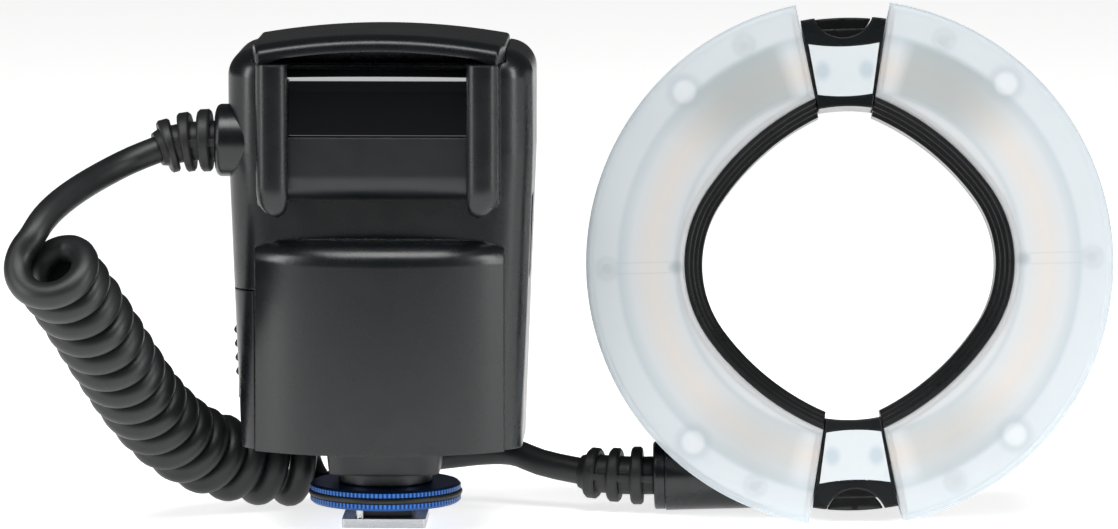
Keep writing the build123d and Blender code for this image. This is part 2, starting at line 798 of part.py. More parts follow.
def half_form(front, back, outside, grow, inset):
    """Right half of the head between two depths: in from the outside, the opening and the gap."""
    with BuildPart() as form:
        with BuildSketch(lamp_front.offset(-back)):
            Circle(lamp_radius - back * tan(radians(lean)) - outside)
        extrude(amount=back - front, taper=-lean)
        add(sector_form(front, back, inset), mode=Mode.INTERSECT)
        add(opening_form(front - seat_gap, back + seat_gap, grow), mode=Mode.SUBTRACT)
    return form.part


def spoke(angle):
    """The plane through the head's axis at an angle, with x outward and y to the front."""
    outward = lamp_front.x_dir * cos(radians(angle)) + lamp_front.y_dir * sin(radians(angle))
    return Plane(origin=lamp_front.origin, x_dir=outward, z_dir=outward.cross(lamp_front.z_dir))


def front_edges(build):
    """Edges of the foremost face of a piece of the head."""
    return build.faces().sort_by(lamp_axis)[-1].edges()


# Diffusers: milky covers with round snap pins inside
pin_circle = 54.0
snap_pin_radius = 1.5
snap_pin_angles = [-65.6, 0, 65.6]
with BuildPart() as right_diffuser:
    add(half_form(0, diffuser_depth, 0, rim_width + seat_gap, 0))
    fillet(front_edges(right_diffuser), radius=diffuser_edge)
    add(
        half_form(
            diffuser_skin, diffuser_depth + overrun, diffuser_skin,
            rim_width + seat_gap + diffuser_skin, diffuser_skin,
        ),
        mode=Mode.SUBTRACT,
    )
    with BuildSketch(lamp_front.offset(-diffuser_skin / 2)):
        for angle in snap_pin_angles:
            with Locations((pin_circle * cos(radians(angle)), pin_circle * sin(radians(angle)))):
                Circle(snap_pin_radius)
    extrude(amount=diffuser_skin - diffuser_depth + snap_pin_radius)
finish(right_diffuser, "right_diffuser")

with BuildPart() as left_diffuser:
    mirror(right_diffuser.part, about=lamp_middle)
finish(left_diffuser, "left_diffuser")

# Rims: stepped black funnels that line the opening
with BuildPart() as right_rim:
    for ledge in range(rim_ledges):
        start = rim_start + ledge * rim_step
        grow = rim_width * (rim_ledges - 1 - ledge) / rim_ledges
        add(opening_form(start, rim_depth, rim_width))
        add(opening_form(start - seat_gap, start + rim_step, grow), mode=Mode.SUBTRACT)
    add(opening_form(rim_start, rim_depth + seat_gap, 0), mode=Mode.SUBTRACT)
    add(sector_form(0, rim_depth, 0), mode=Mode.INTERSECT)
finish(right_rim, "right_rim")

with BuildPart() as left_rim:
    mirror(right_rim.part, about=lamp_middle)
finish(left_rim, "left_rim")

# Reflectors: a white deck with a trough that follows the flash tube, and two screw bosses
trough_radius = 45.3
trough_width = 11.4
trough_angle = 66.0
trough_wall = 0.8
trough_front = 3.0
deck_front = 8.5
boss_circle = 53.4
boss_radius = 2.0
boss_angles = [-47.5, 47.5]
with BuildPart() as right_reflector:
    add(
        half_form(
            deck_front, diffuser_depth, diffuser_skin + seat_gap,
            rim_width + diffuser_skin + 2 * seat_gap, diffuser_skin + seat_gap,
        )
    )
    trough_line = CenterArc((0, 0), trough_radius, -trough_angle, 2 * trough_angle, mode=Mode.PRIVATE)
    with BuildSketch(lamp_front.offset(-deck_front)):
        SlotArc(trough_line, trough_width + 2 * trough_wall)
        SlotArc(trough_line, trough_width, mode=Mode.SUBTRACT)
    extrude(amount=deck_front - trough_front)
    with BuildSketch(lamp_front.offset(-deck_front)):
        for angle in boss_angles:
            with Locations((boss_circle * cos(radians(angle)), boss_circle * sin(radians(angle)))):
                Circle(boss_radius)
    extrude(amount=deck_front - diffuser_skin - seat_gap)
finish(right_reflector, "right_reflector")

with BuildPart() as left_reflector:
    mirror(right_reflector.part, about=lamp_middle)
finish(left_reflector, "left_reflector")

# Flash tubes: a curved glass tube with a thicker boot on each end that stands on the deck
tube_circle = 46.0
tube_radius = 1.9
tube_depth = 6.0
boot_radius = deck_front - tube_depth - seat_gap
boot_angle = 5.0
tube_angle = 61.0
with BuildPart() as right_flash_tube:
    with BuildSketch(spoke(-tube_angle)):
        with Locations((tube_circle, -tube_depth)):
            Circle(tube_radius)
    revolve(axis=lamp_axis, revolution_arc=2 * tube_angle)
    for start in (-tube_angle - boot_angle / 2, tube_angle - boot_angle / 2):
        with BuildSketch(spoke(start)):
            with Locations((tube_circle, -tube_depth)):
                Circle(boot_radius)
        revolve(axis=lamp_axis, revolution_arc=boot_angle)
finish(right_flash_tube, "right_flash_tube")

with BuildPart() as left_flash_tube:
    mirror(right_flash_tube.part, about=lamp_middle)
finish(left_flash_tube, "left_flash_tube")

# Rear shells of the halves, with grooves in their floors that run on the chassis rails
rail_height = 37.0
rail_inner = 10.0
rail_outer = 26.0
rail_half_width = 1.2
rail_proud = 1.4
rail_play = 0.3
half_travel = 8.0
shell_front = diffuser_depth + seat_gap
with BuildPart() as right_rear_shell:
    add(half_form(shell_front, lamp_depth, 0, rim_width + seat_gap, 0))
    add(
        half_form(
            shell_front - overrun, lamp_depth - shell_floor, wall, rim_width + seat_gap + wall, wall
        ),
        mode=Mode.SUBTRACT,
    )
    with BuildSketch(lamp_front.offset(-lamp_depth)):
        for up in (-rail_height, rail_height):
            with Locations((rail_inner - half_travel - rail_play, up)):
                Rectangle(
                    rail_outer - rail_inner + half_travel + 2 * rail_play,
                    2 * (rail_half_width + rail_play),
                    align=(Align.MIN, Align.CENTER),
                )
    extrude(amount=rail_proud + rail_play, mode=Mode.SUBTRACT)
finish(right_rear_shell, "right_rear_shell")

# Cable tube along the foot of the head, and the channel for it in the left rear shell
cable_radius = 7.9
cable_up = -46.4
cable_depth = 18.3
cable_end = -42.4
cable_play = 0.3
cable_wall = 1.6
cable_bore = 30.0
channel_wall = 1.2


def cable_channel(radius):
    """A round channel along the cable tube, open towards the floor."""
    plane = Plane(
        origin=lamp_point(-far, cable_up, cable_depth), x_dir=lamp_front.y_dir, z_dir=lamp_front.x_dir
    )
    with BuildPart() as form:
        with BuildSketch(plane):
            Circle(radius)
            Rectangle(lamp_radius, 2 * radius, align=(Align.MAX, Align.CENTER))
        extrude(amount=far)
    return form.part


with BuildPart() as channel_liner:
    mirror(half_form(shell_front, lamp_depth, 0, rim_width + seat_gap, 0), about=lamp_middle)
    add(cable_channel(cable_radius + cable_play + channel_wall), mode=Mode.INTERSECT)

with BuildPart() as left_rear_shell:
    mirror(right_rear_shell.part, about=lamp_middle)
    add(channel_liner.part)
    add(cable_channel(cable_radius + cable_play), mode=Mode.SUBTRACT)
finish(left_rear_shell, "left_rear_shell")

# Chassis: the fixed middle of the head, with the blocks at top and bottom and the slide rails
block_inner = 35.0
block_outside = 3.7
block_front = 1.0
block_play = 0.3
chassis_front = lamp_depth + running_gap
chassis_wall = 1.5
chassis_back = 30.3
chassis_outer = 46.0
latch_travel = 2.0
latch_thickness = 0.8
latch_outer = 42.4
latch_inner = 38.8
latch_reach = 37.4
latch_catch = 4.0
cavity_radius = latch_outer + running_gap
button_half_width = 6.4
button_top = 52.4
button_bottom = 49.0
button_front = 3.0
button_back = 20.0
stem_half_width = 3.0
stem_thickness = 1.6
window_depth = 2.6
window_proud = 0.4
window_low = 37.7
window_high = 49.0
window_low_half = 6.1
window_high_half = 7.9
window_low_bow = 0.5
window_high_bow = 0.7
led_board_half = 5.0
led_board_low = 39.4
led_board_high = 45.4
led_board_depth = 8.0
led_board_thickness = 1.0
led_size = 3.0
led_height = 2.0
led_offset = 2.8
scoop_radius = 7.0
scoop_level = 57.4
top_latch_gap = 0.2
bottom_latch_gap = 1.3
latch_levels = {
    1: chassis_front + chassis_wall + top_latch_gap,
    -1: chassis_front + chassis_wall + bottom_latch_gap,
}


def lamp_window_form(facing, grow, front, back):
    """The outline of a focusing lamp window, top (1) or bottom (-1), between two depths."""
    low = facing * (window_low - grow)
    high = facing * (window_high + grow)
    low_half = window_low_half + grow
    high_half = window_high_half + grow
    with BuildPart() as form:
        with BuildSketch(lamp_front.offset(-back)):
            with BuildLine():
                ThreePointArc((-low_half, low), (0, low - facing * window_low_bow), (low_half, low))
                Line((low_half, low), (high_half, high))
                ThreePointArc((high_half, high), (0, high - facing * window_high_bow), (-high_half, high))
                Line((-high_half, high), (-low_half, low))
            make_face()
        extrude(amount=back - front)
    return form.part


def gap_form(front, back, play):
    """The two wedges between the halves, top and bottom, with play beside them."""
    apex = play / sin(radians(gap_angle))
    with BuildPart() as form:
        with BuildSketch(lamp_front.offset(-back)):
            for facing in (-1, 1):
                with BuildLine():
                    Polyline(
                        (0, facing * apex),
                        (far * sin(radians(gap_angle)), facing * (apex + far * cos(radians(gap_angle)))),
                        (-far * sin(radians(gap_angle)), facing * (apex + far * cos(radians(gap_angle)))),
                        close=True,
                    )
                make_face()
        extrude(amount=back - front)
    return form.part


def block_form(front, back, play):
    """Both blocks between the halves, top and bottom, with play beside them."""
    with BuildPart() as form:
        with BuildSketch(lamp_front.offset(-back)):
            Circle(lamp_radius - back * tan(radians(lean)) - block_outside)
        extrude(amount=back - front, taper=-lean)
        with BuildSketch(lamp_front.offset(-back)):
            Circle(block_inner)
        extrude(amount=back - front, mode=Mode.SUBTRACT)
        add(gap_form(front, back, play), mode=Mode.INTERSECT)
    return form.part


with BuildPart() as lamp_chassis:
    add(block_form(block_front, chassis_back, block_play))
    with BuildSketch(lamp_front.offset(-chassis_back)):
        Circle(chassis_outer)
        Circle(block_inner, mode=Mode.SUBTRACT)
    extrude(amount=chassis_back - chassis_front)
    # slide rails
    with BuildSketch(lamp_front.offset(-chassis_front)):
        for across in (-1, 1):
            for up in (-rail_height, rail_height):
                with Locations((across * (rail_inner + rail_outer) / 2, up)):
                    Rectangle(rail_outer - rail_inner, 2 * rail_half_width)
    extrude(amount=rail_proud)
    # cavity of the latch plates
    with BuildSketch(lamp_front.offset(-chassis_back)):
        SlotCenterToCenter(2 * latch_travel, 2 * cavity_radius, rotation=90)
    extrude(amount=chassis_back - chassis_front - chassis_wall, mode=Mode.SUBTRACT)
    for facing in (-1, 1):
        # pocket of the release button, open outwards, with a scooped front wall
        with BuildSketch(lamp_front.offset(-button_back - running_gap)):
            with Locations((0, facing * (button_bottom - latch_travel - running_gap))):
                Rectangle(
                    2 * (button_half_width + running_gap), lamp_radius,
                    align=(Align.CENTER, Align.MIN if facing > 0 else Align.MAX),
                )
        extrude(amount=button_back - button_front + 2 * running_gap, mode=Mode.SUBTRACT)
        with BuildSketch(lamp_front.offset(-button_front)):
            with Locations((0, facing * scoop_level)):
                Circle(scoop_radius)
        extrude(amount=button_front, mode=Mode.SUBTRACT)
        # way for the stem from the button back to the latch plate
        with BuildSketch(lamp_front.offset(-chassis_back)):
            stem_low = button_bottom - latch_travel - running_gap
            stem_high = button_bottom + stem_thickness + running_gap
            with Locations((0, facing * (stem_low + stem_high) / 2)):
                Rectangle(2 * (stem_half_width + running_gap), stem_high - stem_low)
        extrude(amount=chassis_back - button_back, mode=Mode.SUBTRACT)
        with BuildSketch(lamp_front.offset(-chassis_back)):
            with Locations((0, facing * (stem_low + block_inner) / 2)):
                Rectangle(2 * (stem_half_width + running_gap), stem_low - block_inner + overrun / 2)
        extrude(amount=chassis_back - chassis_front - chassis_wall, mode=Mode.SUBTRACT)
        # seat of the lamp window and the room for the lamp board
        add(
            lamp_window_form(facing, seat_gap, block_front - overrun, window_depth + seat_gap),
            mode=Mode.SUBTRACT,
        )
        with BuildSketch(lamp_front.offset(-led_board_depth - led_board_thickness - seat_gap)):
            with Locations((0, facing * (led_board_low + led_board_high) / 2)):
                Rectangle(
                    2 * (led_board_half + seat_gap), led_board_high - led_board_low + 2 * seat_gap
                )
        extrude(amount=led_board_depth + led_board_thickness, mode=Mode.SUBTRACT)
finish(lamp_chassis, "lamp_chassis")

for facing, place in ((1, "top"), (-1, "bottom")):
    level = latch_levels[facing]
    with BuildPart() as lamp_window:
        add(lamp_window_form(facing, 0, block_front - window_proud, window_depth))
    finish(lamp_window, f"{place}_lamp_window")

    with BuildPart() as led_board:
        with BuildSketch(lamp_front.offset(-led_board_depth - led_board_thickness)):
            with Locations((0, facing * (led_board_low + led_board_high) / 2)):
                Rectangle(2 * led_board_half, led_board_high - led_board_low)
        extrude(amount=led_board_thickness)
        with BuildSketch(lamp_front.offset(-led_board_depth)):
            for across in (-led_offset, led_offset):
                with Locations((across, facing * (led_board_low + led_board_high) / 2)):
                    Rectangle(led_size, led_size)
        extrude(amount=led_height)
    finish(led_board, f"{place}_led_board")

    with BuildPart() as release_button:
        with BuildSketch(lamp_front.offset(-button_back)):
            with Locations((0, facing * (button_top + button_bottom) / 2)):
                Rectangle(2 * button_half_width, button_top - button_bottom)
        extrude(amount=button_back - button_front)
        with BuildSketch(lamp_front.offset(-level + seat_gap)):
            with Locations((0, facing * (button_bottom + stem_thickness / 2))):
                Rectangle(2 * stem_half_width, stem_thickness)
        extrude(amount=level - seat_gap - button_back + wall)
    finish(release_button, f"{place}_release_button")

    # latch plate: a flat ring with a tongue under the stem and a catch on the far side
    with BuildPart() as latch_ring:
        with BuildSketch(lamp_front.offset(-level - latch_thickness)):
            Circle(latch_outer)
            with Locations((0, facing * (latch_outer + button_bottom) / 2)):
                Rectangle(2 * stem_half_width, button_bottom - latch_outer + 2 * stem_thickness)
            Circle(latch_inner, mode=Mode.SUBTRACT)
            with Locations((0, -facing * (latch_reach + latch_inner) / 2)):
                Rectangle(2 * latch_catch, latch_inner - latch_reach + latch_thickness)
            Circle(latch_reach, mode=Mode.SUBTRACT)
        extrude(amount=latch_thickness)
    finish(latch_ring, f"{place}_latch_ring")

# Mount ring on the back, whose bore takes the adapter on the lens, and its four screws
mount_bore = 36.0
mount_length = 3.5
mount_front = chassis_back + seat_gap
mount_chamfer = 0.6
lamp_screw_circle = 44.2
lamp_screw_radius = 1.2
lamp_screw_depth = 1.2
with BuildPart() as mount_ring:
    with BuildSketch(lamp_front.offset(-mount_front - mount_length)):
        Circle(chassis_outer)
        Circle(mount_bore, mode=Mode.SUBTRACT)
    extrude(amount=mount_length)
    chamfer(mount_ring.faces().sort_by(lamp_axis)[0].edges(), length=mount_chamfer)
    with BuildSketch(lamp_front.offset(-mount_front - mount_length)):
        with PolarLocations(lamp_screw_circle, 4, start_angle=45):
            Circle(lamp_screw_radius + seat_gap)
    extrude(amount=lamp_screw_depth + seat_gap, mode=Mode.SUBTRACT)
finish(mount_ring, "mount_ring")

with BuildPart() as lamp_screws:
    with BuildSketch(lamp_front.offset(-mount_front - mount_length + seat_gap)):
        with PolarLocations(lamp_screw_circle, 4, start_angle=45):
            Circle(lamp_screw_radius)
    extrude(amount=lamp_screw_depth - seat_gap)
finish(lamp_screws, "lamp_screws")

# Cable tube, its collar and the ribbed strain relief
collar_length = 2.5
collar_outer = 7.65
collar_edge = 0.6
lamp_sleeve_turn = 20.0
lamp_sleeve_ribs = [6.55, 6.1, 5.75]
cable_plane = Plane(
    origin=lamp_point(cable_end, cable_up, cable_depth), x_dir=lamp_front.y_dir, z_dir=lamp_front.x_dir
)
with BuildPart() as cable_housing:
    with BuildSketch(cable_plane):
        Circle(cable_radius)
    extrude(amount=-cable_end)
    add(gap_form(0, lamp_depth + overrun, block_play - seat_gap), mode=Mode.SUBTRACT)
    with BuildSketch(cable_plane):
        Circle(cable_radius - cable_wall)
    extrude(amount=cable_bore, mode=Mode.SUBTRACT)
finish(cable_housing, "cable_housing")

with BuildPart() as cable_collar:
    with BuildSketch(cable_plane.offset(-seat_gap)):
        Circle(collar_outer)
    extrude(amount=-collar_length)
    collar_face = cable_collar.faces().sort_by(Axis(cable_plane.origin, cable_plane.z_dir))[0]
    fillet(collar_face.edges(), radius=collar_edge)
finish(cable_collar, "cable_collar")

lamp_sleeve_start = lamp_point(cable_end - collar_length - 2 * seat_gap, cable_up, cable_depth)
sleeve_solid, right_exit, right_way = strain_relief(
    lamp_sleeve_start, -lamp_front.x_dir, (0, 3, 1), lamp_sleeve_turn, lamp_sleeve_ribs
)
with BuildPart() as lamp_strain_relief:
    add(sleeve_solid)
finish(lamp_strain_relief, "lamp_strain_relief")
print("right cord leaves at", right_exit, right_way)
print("lamp plane", lamp_front.origin, lamp_front.x_dir, lamp_front.y_dir, lamp_front.z_dir)


# Curly cord: a straight end from each strain relief and, between them, close curls that hang
# down from the unit's left side and then lie on the floor behind it
curl_radius = 6.5  # from the coil's axis to the middle of the wire
curl_pitch = 7.75
curl_count = 13.5
curl_phase = -45.0  # where the first curl starts, round from the left
tail_curls = 1.6
tail_reach = 32.0
steps_per_curl = 4
cord_straight = cord_diameter
lead_reach = 8.5
left_lead = Vector(-0.42, -0.86, -0.28).normalized()
left_run = 7.5
right_run = 12.0
right_sleeve_run = 10.0
floor_level = 9.6  # height of the coil's axis where it lies on the floor
coil_settling = 0.4
coil_rise = 0.8
coil_route = [
    (-70.2, -50, 64.2),
    (-62.5, -32.5, 48.5),
    (-54.8, -9, 29.5),
    (-44.5, 9.5, 16),
    (-28.5, 21.5, floor_level + coil_settling),
    (-10, 27, floor_level),
    (4, 29, floor_level + coil_rise),
]
coil_axis = Spline(*coil_route, mode=Mode.PRIVATE)


def axis_at(distance):
    """Point and direction of the coil's axis at a distance from its start."""
    share = min(distance / coil_axis.length, 1)
    direction = coil_axis % share
    return coil_axis @ share + direction * (distance - share * coil_axis.length), direction


def curl_at(turn):
    """Point of the wire's middle line after a number of turns; past the last curl it runs in."""
    share = max(turn - curl_count, 0) / tail_curls
    radius = curl_radius * (1 - share**2 * (3 - 2 * share))
    middle, direction = axis_at(turn * curl_pitch + (tail_reach - tail_curls * curl_pitch) * share**2)
    sideways = Vector(0, 0, 1).cross(direction).normalized()
    upwards = direction.cross(sideways)
    angle = radians(curl_phase + 360 * turn)
    return middle + (sideways * cos(angle) - upwards * sin(angle)) * radius


def curl_way(turn, last):
    """Direction of the wire's middle line, measured across a hundredth of a turn."""
    nudge = 0.005
    return (curl_at(min(turn + nudge, last)) - curl_at(turn - nudge)).normalized()


def biarc_middle(start, start_way, end, end_way):
    """Where two arcs meet that join two points along the given directions."""
    chord = end - start
    ways = start_way + end_way
    spread = 2 * (1 - start_way.dot(end_way))
    along = chord.dot(ways)
    reach = (sqrt(along**2 + spread * chord.dot(chord)) - along) / spread
    return (start + end + (start_way - end_way) * reach) / 2


def wire_arcs(points, ways):
    """Arcs through the points, each pair of them joined smoothly."""
    for start, start_way, end, end_way in zip(points, ways, points[1:], ways[1:]):
        middle = biarc_middle(start, start_way, end, end_way)
        first = TangentArc(start, middle, tangent=start_way)
        TangentArc(middle, end, tangent=first % 1)


last_turn = curl_count + tail_curls
curl_steps = int(curl_count * steps_per_curl)
turns = [number / steps_per_curl for number in range(curl_steps + 1)]
turns += [curl_count + tail_curls * number / steps_per_curl for number in range(1, steps_per_curl + 1)]
wire_points = [curl_at(turn) for turn in turns]
wire_ways = [curl_way(turn, last_turn) for turn in turns]
wire_ways[-1] = axis_at(coil_axis.length)[1]
lead_corner = wire_points[0] - wire_ways[0] * lead_reach
lead_start = lead_corner - left_lead * lead_reach
coil_start = lead_start - left_lead * cord_straight
coil_end = wire_points[-1] + wire_ways[-1] * cord_straight
with BuildPart() as cord_coil:
    with BuildLine() as wire:
        Line(coil_start, lead_start)
        wire_arcs([lead_start] + wire_points, [left_lead] + wire_ways)
        Line(wire_points[-1], coil_end)
    with BuildSketch(Plane(origin=coil_start, z_dir=left_lead)):
        Circle(cord_diameter / 2)
    sweep(path=wire.wires()[0])
finish(cord_coil, "cord_coil")

# Least gap of the coil to itself and its tightest bend, measured on points of the middle line
sample_step = 1.5
wire_line = wire.wires()[0]
sample_count = int(wire_line.length / sample_step)
samples = [wire_line @ (number / sample_count) for number in range(sample_count + 1)]
skip = int(pi * curl_radius / sample_step)
least_gap = min(
    (samples[first] - samples[second]).length - cord_diameter
    for first in range(len(samples))
    for second in range(first + skip, len(samples))
)
bends = [edge.radius for edge in wire_line.edges() if edge.geom_type == GeomType.CIRCLE]
print("coil wire", wire_line.length, "gap to itself", least_gap, "tightest bend", min(bends))
print("coil volume", cord_coil.part.volume, "by length", wire_line.length * pi * cord_diameter**2 / 4)


def free_cord(corners):
    """A round cord along straight runs joined by bends that the shorter run beside each allows."""
    radii = []
    for before, corner, after in zip(corners, corners[1:], corners[2:]):
        half_turn = acos((corner - before).normalized().dot((after - corner).normalized())) / 2
        radii.append(bend_share * min((corner - before).length, (after - corner).length) / tan(half_turn))
    with BuildPart() as cord:
        with BuildLine() as line:
            FilletPolyline(*corners, radius=radii)
        with BuildSketch(Plane(origin=corners[0], z_dir=corners[1] - corners[0])):
            Circle(cord_diameter / 2)
        sweep(path=line.wires()[0])
    length = line.wires()[0].length
    runs = [(after - before).length for before, after in zip(corners, corners[1:])]
    print("cord", length, "volume", cord.part.volume, "by length", length * pi * cord_diameter**2 / 4)
    print("bends", radii, "runs", runs)
    return cord.part


bend_share = 0.45
left_corners = [left_exit, left_exit + left_way * left_run, coil_start - left_lead * left_run, coil_start]
with BuildPart() as cord_left:
    add(free_cord(left_corners))
finish(cord_left, "cord_left")

right_corners = [
    coil_end,
    coil_end + wire_ways[-1] * right_run,
    right_exit + right_way * right_sleeve_run,
    right_exit,
]
with BuildPart() as cord_right:
    add(free_cord(right_corners))
finish(cord_right, "cord_right")
print("coil ends", coil_start, coil_end, "cord exits", left_exit, left_way, right_exit, right_way)
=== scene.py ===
# %% [markdown]
# # Macro ring flash: the scene
# The CAD model is loaded as the frame: every rigid piece keeps its place and size. This script
# adds what a CAD model lacks, the cord's smooth curls, small trim and above all the finishes of
# moulded plastic, rubber, steel, anodised aluminium and milky polycarbonate.

# %% Load the frame
from math import cos, pi, radians, sin, sqrt

import bmesh
import bpy
from mathutils import Matrix, Vector


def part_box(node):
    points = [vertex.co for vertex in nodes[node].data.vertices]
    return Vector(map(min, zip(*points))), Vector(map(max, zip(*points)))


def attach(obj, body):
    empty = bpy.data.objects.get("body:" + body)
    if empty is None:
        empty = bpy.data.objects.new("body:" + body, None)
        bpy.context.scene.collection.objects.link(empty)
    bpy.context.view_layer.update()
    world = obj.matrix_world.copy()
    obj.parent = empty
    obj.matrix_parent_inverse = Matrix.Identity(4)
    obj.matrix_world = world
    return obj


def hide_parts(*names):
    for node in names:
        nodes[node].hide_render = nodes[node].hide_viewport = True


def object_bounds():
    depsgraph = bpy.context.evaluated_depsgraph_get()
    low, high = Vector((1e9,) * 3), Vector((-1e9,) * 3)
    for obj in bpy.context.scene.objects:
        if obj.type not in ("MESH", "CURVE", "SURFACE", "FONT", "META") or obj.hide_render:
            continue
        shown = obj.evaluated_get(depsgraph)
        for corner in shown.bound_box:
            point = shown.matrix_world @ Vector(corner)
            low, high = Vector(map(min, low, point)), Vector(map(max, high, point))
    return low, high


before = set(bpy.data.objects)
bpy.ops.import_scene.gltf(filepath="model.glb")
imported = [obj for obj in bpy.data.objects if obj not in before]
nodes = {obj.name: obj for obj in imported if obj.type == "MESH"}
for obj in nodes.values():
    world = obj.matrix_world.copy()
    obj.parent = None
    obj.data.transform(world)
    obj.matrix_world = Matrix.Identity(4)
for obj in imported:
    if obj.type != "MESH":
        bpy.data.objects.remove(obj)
cad_low, cad_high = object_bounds()
MM = 0.001
print("CAD box, mm:", [round(v / MM, 1) for v in (*cad_low, *cad_high)])

# %% [markdown]
# ## Camera
# The photograph is a product shot from about a metre and a half away, taken with a long lens from
# slightly above and to the right, so upright edges stay upright and the foot shows a little of its
# top. The lens is worked out from the width of the subject that the picture shows.

# %% Camera
camera_place = Vector((78.7, -1500, 231)) * MM
camera_target = Vector((38.7, 0, 58)) * MM
picture_width = 248.4 * MM
sensor_width = 36  # a full-frame sensor, in millimetres
camera_data = bpy.data.cameras.new("studio_camera")
camera_data.sensor_width = sensor_width
camera_data.lens = sensor_width * (camera_target - camera_place).length / picture_width
camera = bpy.data.objects.new("studio_camera", camera_data)
camera.location = camera_place
camera.rotation_euler = (camera_target - camera_place).to_track_quat("-Z", "Y").to_euler()
bpy.context.scene.collection.objects.link(camera)
bpy.context.scene.camera = camera
print("lens, mm:", round(camera_data.lens, 1))

# %% [markdown]
# ## Helpers
# A few small helpers do the repeated work: a hex colour turned into the linear values that the
# shaders want, a node added with its settings and links in one call, a material opened and closed,
# a colour ramp filled, and a clean selection before each operator.

# %% Helpers
mix_first, mix_second = 6, 7  # the two colour sockets of a Mix node set to RGBA


def linear(hex_colour):
    """An sRGB hex colour as linear RGBA."""
    parts = [int(hex_colour[i : i + 2], 16) / 255 for i in (0, 2, 4)]
    return [p / 12.92 if p <= 0.04045 else ((p + 0.055) / 1.055) ** 2.4 for p in parts] + [1.0]


def add_node(tree, kind, links=None, values=None, **settings):
    """Add one shader node. values sets sockets, links joins sockets to other nodes' outputs."""
    made = tree.nodes.new(kind)
    for name, value in settings.items():
        setattr(made, name, value)
    for name, value in (values or {}).items():
        made.inputs[name].default_value = value
    for name, source in (links or {}).items():
        tree.links.new(source, made.inputs[name])
    return made


def new_material(name):
    """An empty material and its node tree."""
    material = bpy.data.materials.new(name)
    material.use_nodes = True
    material.node_tree.nodes.clear()
    return material, material.node_tree


def finish_material(material, surface):
    """Join the last shader to the material's output."""
    add_node(material.node_tree, "ShaderNodeOutputMaterial", {"Surface": surface.outputs[0]})
    print(material.name, "nodes:", len(material.node_tree.nodes))


def fill_ramp(ramp, stops):
    """Give a colour ramp its stops, each a place from 0 to 1 and a linear colour."""
    elements = ramp.color_ramp.elements
    for _ in stops[2:]:
        elements.new(0.5)
    for element, (place, colour) in zip(elements, stops):
        element.position = place
    for element, (place, colour) in zip(elements, stops):
        element.color = colour


def deselect():
    """Nothing is selected and no mode is left open."""
    if bpy.context.object and bpy.context.object.mode != "OBJECT":
        bpy.ops.object.mode_set(mode="OBJECT")
    bpy.ops.object.select_all(action="DESELECT")


def ease(share):
    """A share from 0 to 1 that starts and ends slowly."""
    return share**2 * (3 - 2 * share)


# %% [markdown]
# ## The curly cord
# A curly cord is a straight rubber cable that was wound on a rod and heated, so it springs back
# into close curls. It could be a plain helix, but a real one hangs and lies under its own weight,
# so it is one smooth curve here: a route spline gives the line of the coil, the curls wind round
# it, and the two straight ends run into the ribbed strain reliefs. The route hangs from the left
# of the unit and then lies on the floor behind it.

# %% Route of the coil
route_mm = [
    (-70.2, -50, 64.2),
    (-66.6, -41.5, 57.4),
    (-62.3, -31, 48),
    (-57.6, -17.5, 36.6),
    (-52.8, -4, 25.8),
    (-46, 8, 16.8),
    (-37, 17.2, 11.4),
    (-26, 22.4, 9.6),
    (-14, 25.6, 9.6),
    (-4, 27.8, 9.7),
    (6, 29.4, 10.2),
    (14, 30, 10.9),
]
route_resolution = 24


def nurbs_curve(name, points):
    """A curve object with one open NURBS spline through these control points, in metres."""
    data = bpy.data.curves.new(name, "CURVE")
    data.dimensions = "3D"
    spline = data.splines.new("NURBS")
    spline.points.add(len(points) - 1)
    for point, place in zip(spline.points, points):
        point.co = (*place, 1)
    spline.order_u = 3
    spline.use_endpoint_u = True
    made = bpy.data.objects.new(name, data)
    bpy.context.scene.collection.objects.link(made)
    return made


def middle_line(name, points, resolution):
    """The points of a NURBS curve's own line, read from the curve without any thickness."""
    guide = nurbs_curve(name, points)
    guide.data.splines[0].resolution_u = resolution
    bpy.context.view_layer.update()
    guide_mesh = bpy.data.meshes.new_from_object(guide)
    places = [v.co.copy() for v in guide_mesh.vertices]
    bpy.data.objects.remove(guide)
    bpy.data.meshes.remove(guide_mesh)
    return places


line = middle_line("coil_route", [Vector(p) * MM for p in route_mm], route_resolution)
reach = [0.0]
for before, after in zip(line, line[1:]):
    reach.append(reach[-1] + (after - before).length)
print("route points:", len(line), "length, mm:", round(reach[-1] / MM, 1))

# %% [markdown]
# ### Curls
# Each curl is a turn round the route at a fixed distance. The turns could come from a Screw
# modifier, but that can't follow a bent line, so a loop works out the places. The first curl is a
# little wider, as where a real cord is pulled, and the last ones run in to the straight end.

# %% The curls round the route
wire = 6.0 * MM
curl_radius = 6.75 * MM
curl_pitch = 7.0 * MM
curl_count = 15.9
tail_curls = 1.6
points_per_curl = 16
curl_phase = radians(-45)
open_curl = 1.0 * MM  # how much wider the first curl is than the rest
open_turns = 1.5
points_behind, points_ahead = 3, 2  # the route's direction is read across these points
rounding = 1e-9


def along_route(distance):
    """Point and direction of the route at a distance from its start."""
    distance = min(max(distance, 0), reach[-1])
    index = next(i for i in range(1, len(reach)) if reach[i] >= distance - rounding)
    part = (distance - reach[index - 1]) / (reach[index] - reach[index - 1])
    back = line[max(index - points_behind, 0)]
    ahead = line[min(index + points_ahead, len(line) - 1)]
    return line[index - 1].lerp(line[index], part), (ahead - back).normalized()


